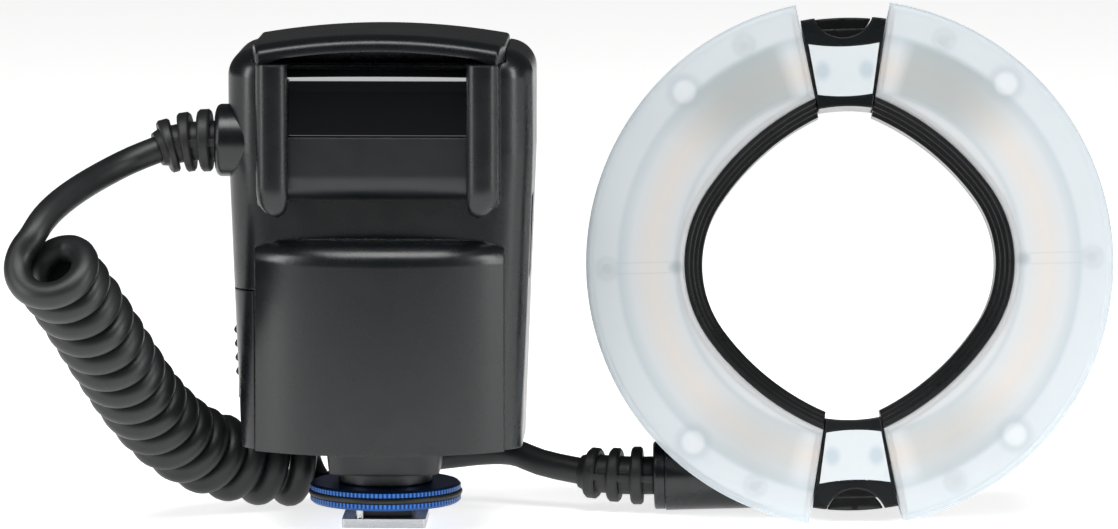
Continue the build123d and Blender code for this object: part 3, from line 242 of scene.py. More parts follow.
def curl_point(turn):
    """The wire's middle after a number of turns; past the last curl it runs in to the route."""
    share = max(turn - curl_count, 0) / tail_curls
    opened = max(1 - turn / open_turns, 0) ** 2 * open_curl
    radius = (curl_radius + opened) * (1 - ease(share))
    stretch = reach[-1] - (curl_count + tail_curls) * curl_pitch
    middle, direction = along_route(turn * curl_pitch + stretch * share**2)
    sideways = Vector((0, 0, 1)).cross(direction).normalized()
    upwards = direction.cross(sideways)
    angle = curl_phase + 2 * pi * turn
    return middle + (sideways * cos(angle) - upwards * sin(angle)) * radius


steps = int((curl_count + tail_curls) * points_per_curl)
curls = [curl_point(n / points_per_curl) for n in range(steps + 1)]
print("curl points:", len(curls))

# %% [markdown]
# ### The whole cord
# The ends and the curls are joined in one spline, because a cord drawn in three pieces shows a
# break where they meet. The spline gets its thickness and is then made a mesh, so that its size is
# read from its skin and not from the curve's point radii.

# %% The whole cord
left_end_mm = [(-49.2, -15.0, 84.9), (-54.0, -16.5, 83.2), (-59.5, -21.5, 80.7),
               (-65.0, -29.0, 77.9), (-69.4, -36.6, 74.9), (-72.3, -41.8, 71.8)]
right_end_mm = [(21.4, 30.0, 11.8), (28.4, 26.8, 12.2), (34.0, 23.4, 9.8), (43.3, 20.2, 8.65)]
cord_resolution = 3
sheath_roundness = 6
cord_points = [Vector(p) * MM for p in left_end_mm] + curls + [Vector(p) * MM for p in right_end_mm]
cord_line = middle_line("cord_line", cord_points, cord_resolution)
cord_length = sum((b - a).length for a, b in zip(cord_line, cord_line[1:]))
print("cord length, mm:", round(cord_length / MM, 1))
cord = nurbs_curve("curly_cord", cord_points)
cord.data.bevel_depth = wire / 2
cord.data.bevel_resolution = sheath_roundness
cord.data.splines[0].resolution_u = cord_resolution
cord.data.use_fill_caps = True
deselect()
bpy.context.view_layer.objects.active = cord
cord.select_set(True)
bpy.ops.object.convert(target="MESH")
cord = bpy.context.object
cord.name = "curly_cord"
cord.data.shade_smooth()
deselect()
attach(cord, "unit")
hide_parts("cord_left", "cord_coil", "cord_right")

# %% [markdown]
# ## Studio
# The photograph is a packshot on white. Narrow soft boxes far to both sides draw the long upright
# highlights on the black pillars, and a large one overhead lights the floor and the tops. Towards
# the camera the paper is painted dark grey, a painted shade as if a black card stood there, so the
# black housing reflects something dark; further back the paper glows white. A box round the scene
# would do it too, but would hide the other sides.

# %% Floor
floor_size = 7
floor_squares = 24
floor_gap = 0.0001  # the paper lies this far under the lowest CAD point, in metres
bpy.ops.mesh.primitive_grid_add(x_subdivisions=floor_squares, y_subdivisions=floor_squares,
                                size=floor_size, location=(0, 0, cad_low[2] - floor_gap))
floor = bpy.context.object
floor.name = "studio_floor"
paper, tree = new_material("white_paper_floor")
place = add_node(tree, "ShaderNodeTexCoord")
parts = add_node(tree, "ShaderNodeSeparateXYZ", {"Vector": place.outputs["Object"]})
# Painted shade: towards the camera the paper turns dark grey and its glow fades out.
painted_shade_share = add_node(tree, "ShaderNodeMapRange", {"Value": parts.outputs["Y"]},
                       {"From Min": -0.55, "From Max": -0.24}, interpolation_type="SMOOTHSTEP")
tone = add_node(tree, "ShaderNodeMix", {"Factor": painted_shade_share.outputs[0]},
                {mix_first: linear("505050"), mix_second: linear("f6f6f5")}, data_type="RGBA")
glow = add_node(tree, "ShaderNodeMix", {"Factor": painted_shade_share.outputs[0]},
                {mix_first: linear("000000"), mix_second: linear("ffffff")}, data_type="RGBA")
fibre = add_node(tree, "ShaderNodeTexNoise", {"Vector": place.outputs["Object"]},
                 {"Scale": 900.0, "Detail": 3.0})
relief = add_node(tree, "ShaderNodeBump", {"Height": fibre.outputs[0]},
                  {"Strength": 0.05, "Distance": 0.2 * MM})
shade = add_node(tree, "ShaderNodeBsdfPrincipled",
                 {"Base Color": tone.outputs[2], "Emission Color": glow.outputs[2],
                  "Normal": relief.outputs[0]}, {"Roughness": 0.85, "Emission Strength": 0.75})
finish_material(paper, shade)
floor.data.materials.append(paper)
floor.select_set(False)
print("floor at, mm:", round(floor.location.z / MM, 2))

# %% Lights
air_colour = (1, 1, 1, 1)
air_strength = 0.07
world = bpy.data.worlds.new("studio_air")
world.use_nodes = True
world.node_tree.nodes["Background"].inputs["Color"].default_value = air_colour
world.node_tree.nodes["Background"].inputs["Strength"].default_value = air_strength
bpy.context.scene.world = world
bpy.context.scene.view_settings.view_transform = "Standard"
bpy.context.scene.view_settings.look = "None"


def soft_box(name, place, aim, width, height, power):
    """A rectangular soft light aimed at a point. Sizes are in metres and the power in watts."""
    data = bpy.data.lights.new(name, "AREA")
    data.shape = "RECTANGLE"
    data.size, data.size_y, data.energy = width, height, power
    made = bpy.data.objects.new(name, data)
    made.location = place
    made.rotation_euler = (Vector(aim) - Vector(place)).to_track_quat("-Z", "Y").to_euler()
    bpy.context.scene.collection.objects.link(made)
    print(name, "watts:", power)


subject = (0.03, 0, 0.06)
soft_box("left_box", (-1.15, -0.6, 0.35), subject, 0.22, 1.0, 8)
soft_box("right_box", (1.25, -0.6, 0.4), subject, 0.22, 1.0, 8)
soft_box("top_box", (0.05, -0.55, 1.05), subject, 1.2, 0.5, 14)

# %% [markdown]
# ## Finishes
# Each finish is named for the real material and how it was made. Grain sizes are in real
# millimetres: `per(0.3)` is the scale at which a noise feature is about 0.3 mm across. An image of
# a surface would repeat and blur close up, so every pattern is worked out by nodes.

# %% Pattern scale
def per(millimetres):
    """Texture scale whose features are this many millimetres across."""
    return 1 / (millimetres * MM)


print("scale of a 0.3 mm grain:", round(per(0.3)))

# %% [markdown]
# ### Moulded plastic and rubber
# Nearly all of the flash is black plastic, and what tells its pieces apart is gloss and grain. One
# family of finishes gives them all the same build-up: a slow drift of tone, edges painted lighter
# (rubbed by use and a painted highlight), gloss that breaks up, and the fine grain of the mould.

# %% Moulded plastic
edge_rounding = 0.6 * MM
duller, brighter, brighter_floor = 0.86, 1.16, 0.0008
edge_gain, edge_floor = 1.9, 0.02


def moulded(name, colour, roughness, grain, depth, edge=0.35):
    """Injection-moulded plastic: a slight drift of colour, uneven gloss, grain, and edges painted
    lighter (rubbed edges and painted highlight).
    """
    material, tree = new_material(name)
    place = add_node(tree, "ShaderNodeTexCoord")
    drift = add_node(tree, "ShaderNodeTexNoise", {"Vector": place.outputs["Object"]},
                     {"Scale": per(28), "Detail": 3.0})
    base = linear(colour)[:3]
    dark = [c * duller for c in base] + [1]
    light = [min(c * brighter + brighter_floor, 1) for c in base] + [1]
    rubbed_highlit_tone = [min(c * edge_gain + edge_floor, 1) for c in base] + [1]
    tone = add_node(tree, "ShaderNodeMix", {"Factor": drift.outputs[0]},
                    {mix_first: dark, mix_second: light}, data_type="RGBA")
    # Fingers and bags polish the outer edges; they are painted lighter here, partly rubbed and
    # partly a painted highlight where they catch light.
    rounded = add_node(tree, "ShaderNodeBevel", values={"Radius": edge_rounding}, samples=3)
    straight = add_node(tree, "ShaderNodeNewGeometry")
    facing = add_node(tree, "ShaderNodeVectorMath",
                      {0: rounded.outputs[0], 1: straight.outputs["Normal"]},
                      operation="DOT_PRODUCT")
    rubbed_highlit_share = add_node(tree, "ShaderNodeMapRange", {"Value": facing.outputs["Value"]},
                    {"From Min": 0.86, "From Max": 0.99, "To Min": edge, "To Max": 0.0})
    edge_tone = add_node(tree, "ShaderNodeMix", {"Factor": rubbed_highlit_share.outputs[0],
                         mix_first: tone.outputs[2]}, {mix_second: rubbed_highlit_tone}, data_type="RGBA")
    # The gloss breaks up where the steel tool was polished unevenly.
    sheen = add_node(tree, "ShaderNodeTexNoise", {"Vector": place.outputs["Object"]},
                     {"Scale": per(6), "Detail": 4.0})
    gloss = add_node(tree, "ShaderNodeMapRange", {"Value": sheen.outputs[0]},
                     {"From Min": 0.3, "From Max": 0.7, "To Min": roughness * 0.88,
                      "To Max": roughness * 1.12})
    # Spark-eroded grain of the mould, pressed into every outer face.
    speckle = add_node(tree, "ShaderNodeTexNoise", {"Vector": place.outputs["Object"]},
                       {"Scale": per(grain), "Detail": 2.0})
    relief = add_node(tree, "ShaderNodeBump", {"Height": speckle.outputs[0],
                      "Normal": rounded.outputs[0]}, {"Strength": 0.3, "Distance": depth * MM})
    shade = add_node(tree, "ShaderNodeBsdfPrincipled",
                     {"Base Color": edge_tone.outputs[2], "Roughness": gloss.outputs[0],
                      "Normal": relief.outputs[0]})
    finish_material(material, shade)
    return material


# %% The moulded finishes
# The housing's satin black: soft upright highlights, edges painted a little lighter as rubbed edges
# and painted highlight.
satin_abs = moulded("satin_black_moulded_abs", "0a0e10", 0.27, 0.5, 0.012)
# The rolled front and the foot: a finer, dry grain that spreads the light.
grained_abs = moulded("fine_grain_moulded_abs", "0b1013", 0.38, 0.28, 0.03, edge=0.25)
# Keys, release buttons and pads: slightly polished by use.
polished_abs = moulded("polished_black_moulded_abs", "0b0d0e", 0.26, 0.7, 0.006)
# The rims round the lamps: black with a low gloss that shows the steps.
rim_abs = moulded("black_stepped_rim_abs", "0b0d0e", 0.3, 0.6, 0.008, edge=0.5)
# Rubber of the strain reliefs, the socket cover and the ring's seal: dull and dark grey.
soft_rubber = moulded("soft_black_rubber", "101112", 0.5, 0.35, 0.02, edge=0.2)
# White reflector moulding behind the flash tube: bright and smooth.
white_moulding = moulded("white_moulded_reflector", "d8dadb", 0.3, 0.8, 0.004, edge=0.0)
# Sleeves and blocks inside, a plain grey that is seen only when covers open.
grey_moulding = moulded("grey_moulded_insert", "3a3d40", 0.45, 0.4, 0.012)

# %% [markdown]
# ### Cord sheath
# The cord is extruded soft vinyl, not moulded, so it has no mould grain and no worn edges. A slow
# drift of tone and gloss keeps its long tube from looking like drawn wire.

# %% Cord sheath
sheath, tree = new_material("extruded_vinyl_sheath")
place = add_node(tree, "ShaderNodeTexCoord")
drift = add_node(tree, "ShaderNodeTexNoise", {"Vector": place.outputs["Object"]},
                 {"Scale": per(9), "Detail": 3.0})
tone = add_node(tree, "ShaderNodeMix", {"Factor": drift.outputs[0]},
                {mix_first: linear("0e0f10"), mix_second: linear("1a1c1d")}, data_type="RGBA")
fine = add_node(tree, "ShaderNodeTexNoise", {"Vector": place.outputs["Object"]},
                {"Scale": per(0.5), "Detail": 2.0})
relief = add_node(tree, "ShaderNodeBump", {"Height": fine.outputs[0]},
                  {"Strength": 0.35, "Distance": 0.015 * MM})
gloss = add_node(tree, "ShaderNodeMapRange", {"Value": drift.outputs[0]},
                 {"From Min": 0.3, "From Max": 0.7, "To Min": 0.38, "To Max": 0.5})
shade = add_node(tree, "ShaderNodeBsdfPrincipled",
                 {"Base Color": tone.outputs[2], "Roughness": gloss.outputs[0],
                  "Normal": relief.outputs[0]})
finish_material(sheath, shade)

# %% [markdown]
# ### Infrared window
# The window is black-dyed acrylic: it looks black to the eye and lets infrared light through. It
# is the glossiest thing on the unit. Hairline scratches, wide and thin, break up its mirror look.

# %% Window acrylic
window_gloss, tree = new_material("polished_black_acrylic")
place = add_node(tree, "ShaderNodeTexCoord")
scratch = add_node(tree, "ShaderNodeMapping", {"Vector": place.outputs["Object"]},
                   {"Scale": (per(0.2), per(0.2), per(9))})
hair = add_node(tree, "ShaderNodeTexNoise", {"Vector": scratch.outputs[0]}, {"Scale": 1.0})
gloss = add_node(tree, "ShaderNodeMapRange", {"Value": hair.outputs[0]},
                 {"From Min": 0.35, "From Max": 0.75, "To Min": 0.03, "To Max": 0.09})
shade = add_node(tree, "ShaderNodeBsdfPrincipled", {"Roughness": gloss.outputs[0]},
                 {"Base Color": linear("07080a"), "Coat Weight": 0.6, "Coat Roughness": 0.02})
finish_material(window_gloss, shade)

# %% [markdown]
# ### Bare metals
# Stamped and turned metal keeps the marks of how it was made. The noise is stretched along one
# direction, so the gloss runs in lines, and a plain even metal would look like grey plastic.

# %% Bare metals
def metal(name, colour, roughness, spread, stretch):
    """Bare metal with fine machining lines: the noise is stretched along one direction."""
    material, tree = new_material(name)
    place = add_node(tree, "ShaderNodeTexCoord")
    along = add_node(tree, "ShaderNodeMapping", {"Vector": place.outputs["Object"]},
                     {"Scale": stretch})
    lines = add_node(tree, "ShaderNodeTexNoise", {"Vector": along.outputs[0]},
                     {"Scale": 1.0, "Detail": 3.0})
    gloss = add_node(tree, "ShaderNodeMapRange", {"Value": lines.outputs[0]},
                     {"From Min": 0.3, "From Max": 0.7, "To Min": roughness - spread,
                      "To Max": roughness + spread})
    relief = add_node(tree, "ShaderNodeBump", {"Height": lines.outputs[0]},
                      {"Strength": 0.25, "Distance": 0.01 * MM})
    shade = add_node(tree, "ShaderNodeBsdfPrincipled",
                     {"Roughness": gloss.outputs[0], "Normal": relief.outputs[0]},
                     {"Base Color": linear(colour), "Metallic": 1.0})
    finish_material(material, shade)
    return material


# Foot plate: stamped stainless steel, bright with brushed lines.
brushed_steel = metal("stamped_brushed_steel", "c9cacb", 0.3, 0.08, (per(6), per(0.15), per(0.15)))
# Contact pins and battery plates: gold plating, warm and nearly even.
plated_brass = metal("gold_plated_brass", "d9b25a", 0.22, 0.05, (per(1), per(1), per(1)))
# Screws: blackened, so only their edges catch light.
blackened_steel = metal("blackened_steel_screw", "2c2d2f", 0.35, 0.07, (per(1), per(1), per(1)))
# The locking pin: nickel plating, grey and shiny.
nickel = metal("nickel_plated_steel", "bfc0c0", 0.22, 0.06, (per(2), per(2), per(0.4)))

# %% [markdown]
# ### Locking ring
# The ring is turned aluminium, straight-knurled and anodised blue. Its ridges run up the rim. They
# could be modelled, but there are over a hundred of them less than a millimetre apart, so they are
# cut in the finish, by the angle round the ring's own axis, and only where the face looks outwards.

# %% Knurled blue aluminium
anodised, tree = new_material("blue_anodised_knurled_aluminium")
ring_low, ring_high = [Vector(v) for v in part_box("lock_ring")]
ring_middle = (ring_low + ring_high) / 2
knurl_teeth = 110
place = add_node(tree, "ShaderNodeTexCoord")
centred = add_node(tree, "ShaderNodeVectorMath", {0: place.outputs["Object"]}, {1: ring_middle},
                   operation="SUBTRACT")
parts = add_node(tree, "ShaderNodeSeparateXYZ", {"Vector": centred.outputs[0]})
angle = add_node(tree, "ShaderNodeMath", {0: parts.outputs["Y"], 1: parts.outputs["X"]},
                 operation="ARCTAN2")
ridge = add_node(tree, "ShaderNodeMath", {0: angle.outputs[0]}, {1: knurl_teeth},
                 operation="MULTIPLY")
wave = add_node(tree, "ShaderNodeMath", {0: ridge.outputs[0]}, operation="SINE")
side = add_node(tree, "ShaderNodeNewGeometry")
side_parts = add_node(tree, "ShaderNodeSeparateXYZ", {"Vector": side.outputs["Normal"]})
upright = add_node(tree, "ShaderNodeMath", {0: side_parts.outputs["Z"]}, operation="ABSOLUTE")
only_rim = add_node(tree, "ShaderNodeMapRange", {"Value": upright.outputs[0]},
                    {"From Min": 0.2, "From Max": 0.5, "To Min": 0.5, "To Max": 0.0})
knurl = add_node(tree, "ShaderNodeMath", {0: wave.outputs[0], 1: only_rim.outputs[0]},
                 operation="MULTIPLY")
relief = add_node(tree, "ShaderNodeBump", {"Height": knurl.outputs[0]},
                  {"Strength": 0.9, "Distance": 0.2 * MM})
# The crests are painted lighter blue and the grooves darker: painted highlight and painted shade
# along the ridges.
ridge_light_and_shade = add_node(tree, "ShaderNodeMapRange", {"Value": knurl.outputs[0]},
               {"From Min": -0.5, "From Max": 0.5, "To Min": 0.0, "To Max": 1.0})
tone = add_node(tree, "ShaderNodeMix", {"Factor": ridge_light_and_shade.outputs[0]},
                {mix_first: linear("16305e"), mix_second: linear("3f6fb8")}, data_type="RGBA")
shade = add_node(tree, "ShaderNodeBsdfPrincipled",
                 {"Base Color": tone.outputs[2], "Normal": relief.outputs[0]},
                 {"Metallic": 1.0, "Roughness": 0.33})
finish_material(anodised, shade)

# %% [markdown]
# ### The lamp's own axes
# The lamp leans back a little and is turned a little, so its own axes are kept here: right along
# the front, up along the front, and back into the head. The diffusers' tones, the marks inside them
# and the release pads are all placed by these.

# %% Lamp axes
lamp_origin = Vector((103.3, 5.9, 57.8815)) * MM
lamp_right = Vector((0.99961, 0.003789, 0.027663))
lamp_up = Vector((-0.027922, 0.135663, 0.990362))
lamp_back = Vector((0, 0.990748, -0.135716))
lamp_turn = Matrix((lamp_right, lamp_back, lamp_up)).transposed()
boss_circle, boss_angle = 53.0, 47.5
locating_circle, locating_angle = 54.0, 65.6


def lamp_axes(tree):
    """Object coordinates turned to the lamp's own axes, and the distance from its middle."""
    place = add_node(tree, "ShaderNodeTexCoord")
    turned = add_node(tree, "ShaderNodeMapping", {"Vector": place.outputs["Object"]},
                      {"Location": lamp_origin, "Rotation": lamp_turn.to_euler()},
                      vector_type="TEXTURE")
    parts = add_node(tree, "ShaderNodeSeparateXYZ", {"Vector": turned.outputs[0]})
    flat = add_node(tree, "ShaderNodeCombineXYZ", {"X": parts.outputs["X"],
                                                   "Z": parts.outputs["Z"]})
    length = add_node(tree, "ShaderNodeVectorMath", {0: flat.outputs[0]}, operation="LENGTH")
    return parts, length.outputs["Value"]


print("lamp leans back, degrees:", round(lamp_back.angle(Vector((0, 1, 0))) * 180 / pi, 1))

# %% [markdown]
# ### Milky diffusers
# The diffusers are milky polycarbonate: light goes in, scatters, and comes out soft. What stands
# close behind the plastic shows through it as faint tones. True scattering through two walls would
# need many more samples, so these tones are painted light and shade laid in the plastic itself:
# rings of painted shade where the walls of the reflector trough touch it, the warm tube between
# them, painted shade at the trough's rounded ends, and the bosses, locating rings and cross rib.

# %% Rings of tone
opal, tree = new_material("milky_polycarbonate")
parts, from_middle = lamp_axes(tree)
# The darker rings are painted shade, where the trough walls stand behind the plastic and towards the
# outer edge; the warm ring is the tube showing through.
ring_tones = [(34, "f0f3f5"), (37.6, "f8f9fa"), (38.6, "e3e9ec"), (39.6, "f3f5f6"), (44, "fbf4ee"),
              (48.5, "f4f6f7"), (51.2, "e0e8ec"), (52.2, "f2f5f7"), (56.5, "eff3f5"),
              (58.2, "e2e9ed"), (60, "d2dce1")]
inmost, outmost = ring_tones[0][0], ring_tones[-1][0]
ring_share = add_node(tree, "ShaderNodeMapRange", {"Value": from_middle},
                      {"From Min": inmost * MM, "From Max": outmost * MM})
rings = add_node(tree, "ShaderNodeValToRGB", {"Fac": ring_share.outputs[0]})
fill_ramp(rings, [((radius - inmost) / (outmost - inmost), linear(tone_colour))
                  for radius, tone_colour in ring_tones])
print("ring tones:", len(rings.color_ramp.elements))

# %% Painted shade at the ends of the trough
trough_inner, trough_outer, wall_blur = 38.8 * MM, 51.2 * MM, 0.6 * MM
height = add_node(tree, "ShaderNodeMath", {0: parts.outputs["Z"], 1: from_middle},
                  operation="DIVIDE")
# The rounded ends get painted shade, most of all at the top. The height is the sine of the angle.
top_end = add_node(tree, "ShaderNodeMapRange", {"Value": height.outputs[0]},
                   {"From Min": 0.55, "From Max": 0.86, "To Min": 0.0, "To Max": 0.75},
                   interpolation_type="SMOOTHSTEP")
low_end = add_node(tree, "ShaderNodeMapRange", {"Value": height.outputs[0]},
                   {"From Min": -0.6, "From Max": -0.9, "To Min": 0.0, "To Max": 0.4},
                   interpolation_type="SMOOTHSTEP")
ends = add_node(tree, "ShaderNodeMath", {0: top_end.outputs[0], 1: low_end.outputs[0]},
                operation="MAXIMUM")
beyond = add_node(tree, "ShaderNodeMath", {0: height.outputs[0]}, operation="ABSOLUTE")
stop = add_node(tree, "ShaderNodeMapRange", {"Value": beyond.outputs[0]},
                {"From Min": 0.948, "From Max": 0.968, "To Min": 1.0, "To Max": 0.0})
inner_wall = add_node(tree, "ShaderNodeMapRange", {"Value": from_middle},
                      {"From Min": trough_inner - wall_blur, "From Max": trough_inner + wall_blur})
outer_wall = add_node(tree, "ShaderNodeMapRange", {"Value": from_middle},
                      {"From Min": trough_outer - wall_blur, "From Max": trough_outer + wall_blur,
                       "To Min": 1.0, "To Max": 0.0})
painted_shade_share = ends
for mask in (stop, inner_wall, outer_wall):
    painted_shade_share = add_node(tree, "ShaderNodeMath", {0: painted_shade_share.outputs[0], 1: mask.outputs[0]},
                           operation="MULTIPLY")
tone = add_node(tree, "ShaderNodeMix", {"Factor": painted_shade_share.outputs[0],
                mix_first: rings.outputs[0]}, {mix_second: linear("c6cbca")}, data_type="RGBA")
print("trough, mm:", round(trough_inner / MM, 1), "to", round(trough_outer / MM, 1))

# %% Bosses and locating rings behind the plastic
# Each is a soft ring or dot round its own middle; the two halves and their two ends mirror each
# other, so the places are given once, for the upper right.
across = add_node(tree, "ShaderNodeMath", {0: parts.outputs["X"]}, operation="ABSOLUTE")
upward = add_node(tree, "ShaderNodeMath", {0: parts.outputs["Z"]}, operation="ABSOLUTE")
mirrored = add_node(tree, "ShaderNodeCombineXYZ", {"X": across.outputs[0],
                                                   "Z": upward.outputs[0]})


def soft_mark(tone_before, radius, angle, stops, colour):
    """Mix a colour in at given distances (mm, strength) from a point on the lamp's front."""
    middle = (radius * MM * cos(radians(angle)), 0, radius * MM * sin(radians(angle)))
    away = add_node(tree, "ShaderNodeVectorMath", {0: mirrored.outputs[0]}, {1: middle},
                    operation="DISTANCE")
    farthest = stops[-1][0]
    share = add_node(tree, "ShaderNodeMapRange", {"Value": away.outputs["Value"]},
                     {"From Max": farthest * MM})
    ramp = add_node(tree, "ShaderNodeValToRGB", {"Fac": share.outputs[0]})
    fill_ramp(ramp, [(distance / farthest, (strength, strength, strength, 1))
                     for distance, strength in stops])
    return add_node(tree, "ShaderNodeMix", {"Factor": ramp.outputs[0],
                    mix_first: tone_before.outputs[2]}, {mix_second: linear(colour)},
                    data_type="RGBA")


# Painted light and shade where parts behind show through: a bright painted spot on each boss, and
# greyer painted rings and a dot for its wall, the locating rings and the peg.
boss_glow = [(0, 0.6), (2.2, 0.5), (2.9, 0)]
boss_wall = [(2.0, 0), (3.1, 0.42), (3.7, 0.3), (4.8, 0)]
locating_wall = [(1.2, 0), (2.0, 0.28), (2.4, 0.28), (3.2, 0)]
inner_peg = [(0, 0.7), (0.9, 0.5), (2.0, 0)]
peg_circle = 38.7
tone = soft_mark(tone, boss_circle, boss_angle, boss_glow, "ffffff")
tone = soft_mark(tone, boss_circle, boss_angle, boss_wall, "c9d3d8")
for angle in (0, locating_angle):
    tone = soft_mark(tone, locating_circle, angle, locating_wall, "cdd6db")
tone = soft_mark(tone, peg_circle, 0, inner_peg, "b4bdc3")
print("tones laid so far, nodes:", len(tree.nodes))

# %% Cross rib behind the plastic
# The cross rib shows through as a thin grey line of painted shade.
rib_line = add_node(tree, "ShaderNodeMapRange", {"Value": upward.outputs[0]},
                    {"From Min": 0.9 * MM, "From Max": 1.5 * MM})
rib_mask = add_node(tree, "ShaderNodeValToRGB", {"Fac": rib_line.outputs[0]})
fill_ramp(rib_mask, [(place, (strength, strength, strength, 1))
                     for place, strength in ((0, 0), (0.5, 0.3), (1, 0))])
rib_ends = ((39.5 * MM, 40.5 * MM), (52.5 * MM, 51.5 * MM))
for start, stop_at in rib_ends:
    limit = add_node(tree, "ShaderNodeMapRange", {"Value": across.outputs[0]},
                     {"From Min": start, "From Max": stop_at})
    rib_mask = add_node(tree, "ShaderNodeMath", {0: rib_mask.outputs[0], 1: limit.outputs[0]},
                        operation="MULTIPLY")
tone = add_node(tree, "ShaderNodeMix", {"Factor": rib_mask.outputs[0],
                mix_first: tone.outputs[2]}, {mix_second: linear("c4ced4")}, data_type="RGBA")
print("with the rib, nodes:", len(tree.nodes))

# %% The milky plastic itself
polycarbonate_ior = 1.58
place = add_node(tree, "ShaderNodeTexCoord")
fine = add_node(tree, "ShaderNodeTexNoise", {"Vector": place.outputs["Object"]},
                {"Scale": per(0.4), "Detail": 1.0})
relief = add_node(tree, "ShaderNodeBump", {"Height": fine.outputs[0]},
                  {"Strength": 0.2, "Distance": 0.01 * MM})
body = add_node(tree, "ShaderNodeBsdfPrincipled",
                {"Base Color": tone.outputs[2], "Normal": relief.outputs[0]},
                {"Roughness": 0.3, "IOR": polycarbonate_ior})
through = add_node(tree, "ShaderNodeBsdfTranslucent", {"Color": tone.outputs[2]})
clear = add_node(tree, "ShaderNodeBsdfTransparent", values={"Color": linear("eef2f5")})
scatter = add_node(tree, "ShaderNodeMixShader", {1: body.outputs[0], 2: through.outputs[0]},
                   {"Fac": 0.35})
milky = add_node(tree, "ShaderNodeMixShader", {1: scatter.outputs[0], 2: clear.outputs[0]},
                 {"Fac": 0.36})
finish_material(opal, milky)

# %% [markdown]
# ### Focusing-lamp windows
# At the top and the bottom a small window covers two focusing lamps, which show through the same
# plastic as two grey-blue patches. Each patch is an oval worked out from the lamp's own axes.

# %% Opal lamp window
opal_window, tree = new_material("opal_lamp_window")
parts, from_middle = lamp_axes(tree)
patch_across, patch_up = 4.9 * MM, 43 * MM
patch_half_width, patch_half_height = 2.1 * MM, 2.6 * MM
offsets = []
for axis, middle, half in (("X", patch_across, patch_half_width),
                           ("Z", patch_up, patch_half_height)):
    size = add_node(tree, "ShaderNodeMath", {0: parts.outputs[axis]}, operation="ABSOLUTE")
    offset = add_node(tree, "ShaderNodeMapRange", {"Value": size.outputs[0]},
                      {"From Min": middle - half, "From Max": middle + half, "To Min": -1.0,
                       "To Max": 1.0}, clamp=False)
    offsets.append(offset)
joined = add_node(tree, "ShaderNodeCombineXYZ", {"X": offsets[0].outputs[0],
                                                 "Z": offsets[1].outputs[0]})
distance = add_node(tree, "ShaderNodeVectorMath", {0: joined.outputs[0]}, operation="LENGTH")
patch = add_node(tree, "ShaderNodeMapRange", {"Value": distance.outputs["Value"]},
                 {"From Min": 0.35, "From Max": 1.15, "To Min": 0.5, "To Max": 0.0},
                 interpolation_type="SMOOTHSTEP")
tone = add_node(tree, "ShaderNodeMix", {"Factor": patch.outputs[0]},
                {mix_first: linear("c4cacd"), mix_second: linear("93a5b1")}, data_type="RGBA")
body = add_node(tree, "ShaderNodeBsdfPrincipled", {"Base Color": tone.outputs[2]},
                {"Roughness": 0.3, "Subsurface Weight": 0.15, "Subsurface Scale": 1 * MM,
                 "IOR": polycarbonate_ior})
finish_material(opal_window, body)

# %% [markdown]
# ### Glass, boards, cells and the display
# These lie inside or on the back. They are simple, but each still has the one thing that names its
# material: smeared gloss on glass, a copper weave on a board, a sleeve on a cell that turns lighter
# grey with height and the grid of a liquid-crystal panel.

# %% Clear glass
# The flash tubes and the display's cover: clear, with smears that dull the gloss in places.
glass, tree = new_material("clear_lamp_glass")
place = add_node(tree, "ShaderNodeTexCoord")
smear = add_node(tree, "ShaderNodeTexNoise", {"Vector": place.outputs["Object"]},
                 {"Scale": per(12), "Detail": 2.0})
gloss = add_node(tree, "ShaderNodeMapRange", {"Value": smear.outputs[0]},
                 {"From Min": 0.3, "From Max": 0.7, "To Min": 0.02, "To Max": 0.08})
shade = add_node(tree, "ShaderNodeBsdfPrincipled", {"Roughness": gloss.outputs[0]},
                 {"Base Color": linear("f2f6f8"), "Transmission Weight": 0.95})
finish_material(glass, shade)

# %% Circuit board
# Green solder mask over a copper weave that shows as a faint grid.
board_green, tree = new_material("solder_masked_board")
place = add_node(tree, "ShaderNodeTexCoord")
weave = add_node(tree, "ShaderNodeTexBrick", {"Vector": place.outputs["Object"]},
                 {"Scale": per(6), "Mortar Size": 0.02, "Color1": linear("1f5b36"),
                  "Color2": linear("235f3a"), "Mortar": linear("2f7a4c")})
shade = add_node(tree, "ShaderNodeBsdfPrincipled", {"Base Color": weave.outputs["Color"]},
                 {"Roughness": 0.4, "Coat Weight": 0.3})
finish_material(board_green, shade)

# %% Battery cell
# Plain sleeves that turn from dark to lighter grey with height, half metallic.
cell_low, cell_high = 20 * MM, 75 * MM
cell_sleeve, tree = new_material("shrink_sleeved_cell")
place = add_node(tree, "ShaderNodeTexCoord")
parts = add_node(tree, "ShaderNodeSeparateXYZ", {"Vector": place.outputs["Object"]})
band = add_node(tree, "ShaderNodeMapRange", {"Value": parts.outputs["Z"]},
                {"From Min": cell_low, "From Max": cell_high, "To Min": 0.0, "To Max": 1.0})
tone = add_node(tree, "ShaderNodeValToRGB", {"Fac": band.outputs[0]})
fill_ramp(tone, [(0, linear("24282c")), (1, linear("6c7378"))])
shade = add_node(tree, "ShaderNodeBsdfPrincipled", {"Base Color": tone.outputs[0]},
                 {"Roughness": 0.25, "Metallic": 0.5})
finish_material(cell_sleeve, shade)

# %% Display
# Grey-green glass with a fine pixel grid.
crystal, tree = new_material("liquid_crystal_panel")
place = add_node(tree, "ShaderNodeTexCoord")
grid = add_node(tree, "ShaderNodeTexChecker", {"Vector": place.outputs["Object"]},
                {"Scale": per(0.5), "Color1": linear("8f9a86"), "Color2": linear("949f8b")})
shade = add_node(tree, "ShaderNodeBsdfPrincipled", {"Base Color": grid.outputs[0]},
                 {"Roughness": 0.12})
finish_material(crystal, shade)
print("finishes:", len(bpy.data.materials))

# %% [markdown]
# ### A finish for every CAD piece
# Each CAD node gets one finish here, hidden ones too. The print shows an empty list when none was
# forgotten.

